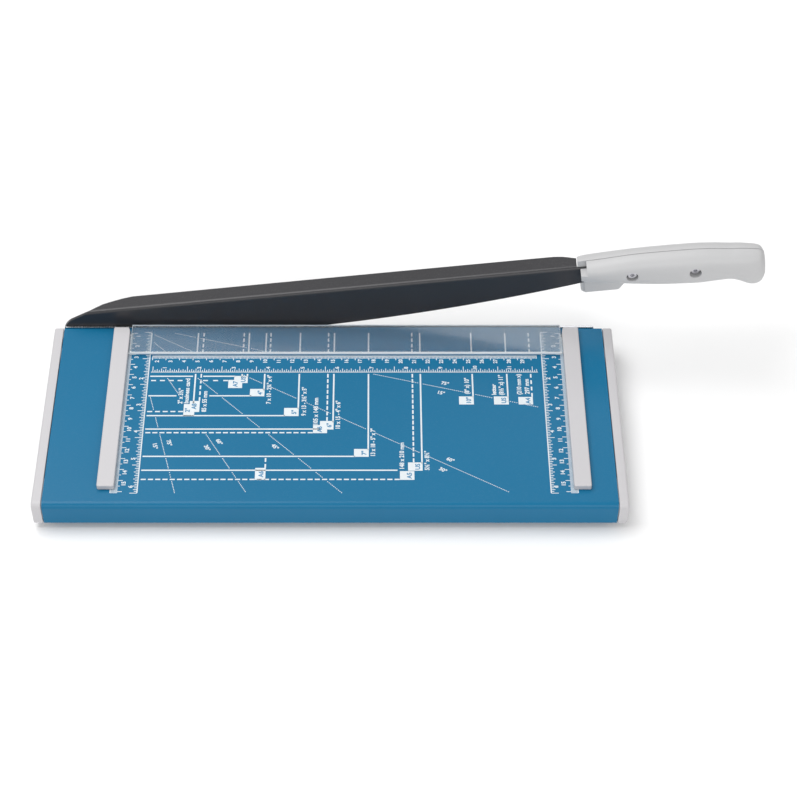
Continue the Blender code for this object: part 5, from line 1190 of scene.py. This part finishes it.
def rulers():
    """Centimetres and inches at the rear and along both fences, with their figures."""
    mm, sixteenth, fine, bold = 0.001, 0.0254 / 16, 0.0005, 0.00055
    down = Matrix.Rotation(math.radians(-90), 4, "Z")
    other_way = Matrix.Diagonal((1.0, -1.0, 1.0, 1.0))
    mirror = Matrix.Translation((FENCE_APART, 0.0, 0.0)) @ Matrix.Diagonal((-1.0, 1.0, 1.0, 1.0))
    across = moved(ticks(285, mm, bold, 0.0022, ((5, 0.0026), (10, 0.0038), (10, 0.0038))),
                   ink(18.0, 31.0), other_way)
    across.flip_normals()
    made = [across, bar(17.8, 30.3, 302.4, 31.4),
            moved(ticks(179, sixteenth, fine, 0.0022, ((2, 0.0030), (4, 0.0036), (16, 0.0056))),
                  ink(19.05, 46.8)), bar(17.8, 46.3, 302.4, 47.0)]
    for side in (Matrix(), mirror):
        for mesh in (moved(ticks(152, mm, bold, 0.0048, ((5, 0.0062), (10, 0.0080), (10, 0.0080))),
                           ink(-2.6, 9.0), down),
                     moved(ticks(97, sixteenth, bold, 0.0021, ((2, 0.0029), (4, 0.0035), (16, 0.0052))),
                           ink(16.0, 7.9375), down @ other_way),
                     bar(15.6, 8.6, 16.4, 160.2), bar(-3.2, 8.6, -2.6, 160.2)):
            mesh.transform(side)
            bm = bmesh.new()
            bm.from_mesh(mesh)
            bmesh.ops.recalc_face_normals(bm, faces=bm.faces)
            made.append(drawn_mesh(bm))
    printed("ruler_marks", made)
    figures = [lettering(str(n), 10.0 * n + 1.6, 36.0, 2.9) for n in range(2, 30)]
    figures += [lettering(str(n), 25.4 * n + 2.4, 42.4, 2.9) for n in range(1, 12)]
    for columns, pitch, below, last in (((6.2, 315.2), 10.0, 1.9, 15), ((11.2, 309.8), 25.4, 2.2, 6)):
        figures += [lettering(str(n), x, pitch * n + below, 3.0) for n in range(1, last + 1) for x in columns]
    printed("ruler_figures", figures)


# Corners of the format boxes, then words with their middle and length, all in mm.
BOXES = [
    (44.0, 77.8, 51.9, 89.3), (48.1, 74.9, 55.4, 85.4), (75.2, 54.4, 85.4, 62.3), (79.3, 50.5, 89.3, 57.4),
    (91.4, 63.2, 102.0, 70.3), (116.8, 81.6, 127.4, 89.3), (138.1, 97.8, 148.2, 105.4),
    (143.0, 94.0, 152.8, 102.0), (167.7, 120.2, 178.2, 127.4), (200.2, 140.5, 210.4, 148.4),
    (206.0, 132.6, 216.3, 140.1), (98.0, 137.6, 105.4, 148.4), (243.7, 70.5, 254.4, 78.2),
    (269.1, 70.5, 279.8, 78.2), (286.9, 71.0, 297.4, 78.2)]
LABELS = [
    ("2\" x 3½\"", 41.2, 70.0, 15.0), ("business card", 45.6, 65.0, 24.0), ("85 x 55 mm", 58.9, 75.3, 20.0),
    ("7 x 10 - 2¾\" x 4\"", 105.4, 63.6, 28.0), ("9 x 13 - 3½\" x 5\"", 131.2, 75.2, 27.5),
    ("105 x 148 mm", 139.9, 84.9, 25.5), ("10 x 15 - 4\" x 6\"", 156.0, 88.2, 26.5),
    ("13 x 18 - 5\" x 7\"", 181.3, 114.1, 25.5), ("148 x 210 mm", 201.8, 126.6, 24.0),
    ("5½\" x 8½\"", 219.6, 130.8, 17.5), ("(8\" x) 10\"", 249.9, 60.3, 15.6), ("letter", 269.5, 63.8, 10.5),
    ("(8½\" x) 11\"", 274.9, 59.3, 19.5), ("(210 mm x)", 288.0, 58.6, 20.0), ("297 mm", 293.8, 60.8, 14.5)]
BOX_NAMES = [
    ("A8", 51.6, 80.0), ("2\"", 47.0, 83.6), ("A7", 80.5, 58.4), ("US", 86.2, 53.9), ("4\"", 99.0, 66.8),
    ("5\"", 124.2, 85.5), ("A6", 143.0, 101.8), ("6\"", 149.8, 98.0), ("7\"", 175.0, 123.8),
    ("A5", 207.0, 144.5), ("US", 213.0, 136.5), ("A6", 102.4, 143.2), ("10\"", 250.9, 74.4),
    ("US", 276.4, 74.4), ("A4", 294.0, 74.7)]
ANGLES = [
    (75, 35.5, 114.6), (75, 233.9, 57.9), (15, 25.7, 117.4), (15, 230.7, 67.1), (60, 71.2, 113.7),
    (60, 236.1, 130.3), (30, 62.9, 119.3), (30, 230.6, 139.5), (45, 111.3, 118.3)]
# Lines by their two ends. Those that stand at these x have a short start at the rear.
MARGIN = (8.6, 28.6)
SOLID_STARTS = (50.8, 88.9, 101.6, 127.0, 152.4, 177.8, 215.9, 254.0, 279.4)
BROKEN_STARTS = (55.0, 85.0, 105.0, 148.0, 210.0, 297.0)
SOLID_LINES = [(x, 48.5, x, y) for x, y in zip(
    SOLID_STARTS, (77.0, 51.5, 64.5, 82.5, 95.0, 121.0, 133.5, 71.5, 71.5))] + [
    (17.6, 50.8, 49.0, 50.8), (56.5, 50.8, 80.0, 50.8), (17.6, 69.85, 38.0, 69.85),
    (62.0, 69.85, 92.5, 69.85), (17.6, 88.9, 117.5, 88.9), (17.6, 101.6, 143.5, 101.6),
    (17.6, 127.0, 168.5, 127.0), (17.6, 139.7, 198.5, 139.7)] + [
    (x, MARGIN[0], x, MARGIN[1]) for x in SOLID_STARTS]
BROKEN_LINES = [
    (55.0, 48.5, 55.0, 74.7), (85.0, 48.5, 85.0, 50.3), (148.0, 48.5, 148.0, 93.8),
    (210.0, 48.5, 210.0, 132.4), (297.0, 48.5, 297.0, 70.8), (105.0, 128.5, 105.0, 137.6),
    (18.5, 55.0, 41.5, 55.0), (56.5, 55.0, 75.0, 55.0), (17.8, 85.0, 43.8, 85.0),
    (17.9, 105.0, 137.9, 105.0), (17.8, 148.0, 200.0, 148.0)] + [
    (x, MARGIN[0], x, MARGIN[1]) for x in BROKEN_STARTS]
RAYS = [(19.0, 70.9, 42.4, 160.2), (18.0, 31.2, 92.0, 159.3), (18.0, 18.0, 159.5, 160.2),
        (18.0, 10.4, 276.4, 159.3), (33.0, 8.8, 300.8, 80.6)]


def formats():
    """The paper formats: their lines, boxes, sizes and names, and the angles' figures."""
    line_wide, stamp_deep = 0.0011, 0.00002
    printed("format_lines", [merged(strokes(SOLID_LINES, line_wide))])
    printed("format_dashes", [dashed(BROKEN_LINES, 0.0050, 0.0036, line_wide)])
    printed("format_boxes", [merged([bar(*box) for box in BOXES])])
    texts = []
    for label, x, y, long in LABELS:
        mesh = lettering(label, 0.0, 0.0, 3.3)
        wide = max(v.co.y for v in mesh.vertices) - min(v.co.y for v in mesh.vertices)
        texts.append(moved(mesh, ink(x, y) - ink(0.0, 0.0), Matrix.Diagonal((1.0, long / 1000 / wide, 1.0, 1.0))))
    texts += [lettering("%d°" % degrees, x, y, 3.0, -math.degrees(math.atan2(y, x))) for degrees, x, y in ANGLES]
    printed("format_sizes", texts)
    above = (0.0, 0.0, INK_DEEP + 0.000006)
    printed("format_names", [moved(lettering(label, x, y, 3.4, deep=stamp_deep), above)
                             for label, x, y in BOX_NAMES], BLUE_INK)


def cut_at(line, others, clear):
    """The stretches of a line that stay clear of the lines it crosses, in mm."""
    parallel, shortest, just_past = 0.001, 1.5, 0.02
    x0, y0, x1, y1 = line
    along = Vector((x1 - x0, y1 - y0))
    gaps = []
    for a0, b0, a1, b1 in others:
        across = Vector((a1 - a0, b1 - b0))
        turn = along.cross(across)
        if abs(turn) < parallel:
            continue
        t = Vector((a0 - x0, b0 - y0)).cross(across) / turn
        s = Vector((a0 - x0, b0 - y0)).cross(along) / turn
        if 0 < t < 1 and -just_past < s < 1 + just_past:
            half = clear * across.length / abs(turn)
            gaps.append((t - half, t + half))
    here, kept = 0.0, []
    for low, high in sorted(gaps) + [(1.0, 1.0)]:
        if (low - here) * along.length > shortest:
            kept.append((x0 + along.x * here, y0 + along.y * here, x0 + along.x * low, y0 + along.y * low))
        here = max(here, high)
    return kept


def angle_lines():
    """Fine broken rays that leave out the lines, words and boxes in their way."""
    clear = 1.7
    marks = SOLID_LINES + [line for line in BROKEN_LINES if line[1] == line[3] != 55.0]
    marks += [(x, y - long / 2, x, y + long / 2) for _, x, y, long in LABELS]
    marks += [line for x0, y0, x1, y1 in BOXES for line in ((x0, y0, x1, y1), (x0, y1, x1, y0))]
    lines = []
    for x0, y0, x1, y1 in RAYS:
        slope = (x1 - x0) / (y1 - y0)
        for low, high in (MARGIN, (48.6, 160.2)):
            start, end = max(low, y0), min(high, y1)
            if end > start + 2:
                lines += cut_at((x0 + (start - y0) * slope, start, x0 + (end - y0) * slope, end), marks, clear)
    printed("angle_lines", [dashed(lines, 0.0014, 0.0009, 0.0005)])


# -------------------------------------------------------------- floor and light
def studio():
    """A pale floor just under the feet, a white world and three soft lamps."""
    bm = bmesh.new()
    bmesh.ops.create_grid(bm, x_segments=2, y_segments=2, size=4.0)
    mesh = drawn_mesh(bm)
    paper = bpy.data.materials.new("pale_paper")
    paper.use_nodes = True
    look = paper.node_tree.nodes["Principled BSDF"].inputs
    look["Base Color"].default_value = (0.93, 0.93, 0.93, 1.0)
    look["Roughness"].default_value = 0.9
    mesh.materials.append(paper)
    floor = bpy.data.objects.new("studio_floor", mesh)
    floor.location = (0.0, 0.0, -0.0001)
    SCENE.collection.objects.link(floor)

    world = bpy.data.worlds.new("soft_studio")
    world.use_nodes = True
    sky = world.node_tree.nodes["Background"].inputs
    sky["Color"].default_value = (1.0, 1.0, 1.0, 1.0)
    sky["Strength"].default_value = 0.57
    SCENE.world = world
    for name, place, aim, size, power in (
            ("large_softbox", (-0.66, 0.30, 1.70), (0.0, 0.0, 0.0), (1.5, 1.2), 22.0),
            ("front_strip", (0.35, -1.75, 0.95), (0.35, 0.0, 0.0), (2.1, 0.45), 13.0),
            ("rear_right_panel", (0.30, 1.10, 1.15), (0.05, 0.06, 0.02), (0.45, 0.45), 0.9)):
        light = bpy.data.lights.new(name, "AREA")
        light.shape = "RECTANGLE"
        light.size, light.size_y = size
        light.energy = power
        lamp = bpy.data.objects.new(name, light)
        lamp.location = place
        lamp.rotation_euler = (Vector(aim) - Vector(place)).to_track_quat("-Z", "Y").to_euler()
        SCENE.collection.objects.link(lamp)
    SCENE.view_settings.view_transform = "Standard"


def camera():
    """The photograph's camera, solved from the marks of the printed rulers."""
    looks_down = 48.879
    made = bpy.data.cameras.new("photo_camera")
    made.sensor_width = 36.0
    made.lens = 92.94
    made.shift_x = 0.02876
    made.clip_start = 0.05
    made.clip_end = 20.0
    obj = bpy.data.objects.new("photo_camera", made)
    obj.location = RULER + Vector((0.18303, -1.0569, 1.15266))
    obj.rotation_euler = (math.radians(90 - looks_down), 0.0, 0.0)
    SCENE.collection.objects.link(obj)
    SCENE.camera = obj


camera()
studio()
table_sheet()
for cap, cap_side in (("left_end_cap", -1), ("right_end_cap", 1)):
    end_cap(cap, cap_side)
for rail, rail_side in (("left_fence", -1), ("right_fence", 1)):
    fence(rail, rail_side)
screws_from_below()
lower_blade()
feet()
clamp()
pivot()
arm_stamping()
handle_half("handle_front_half", -1)
handle_half("handle_rear_half", 1)
handle_fasteners()
rulers()
formats()
angle_lines()
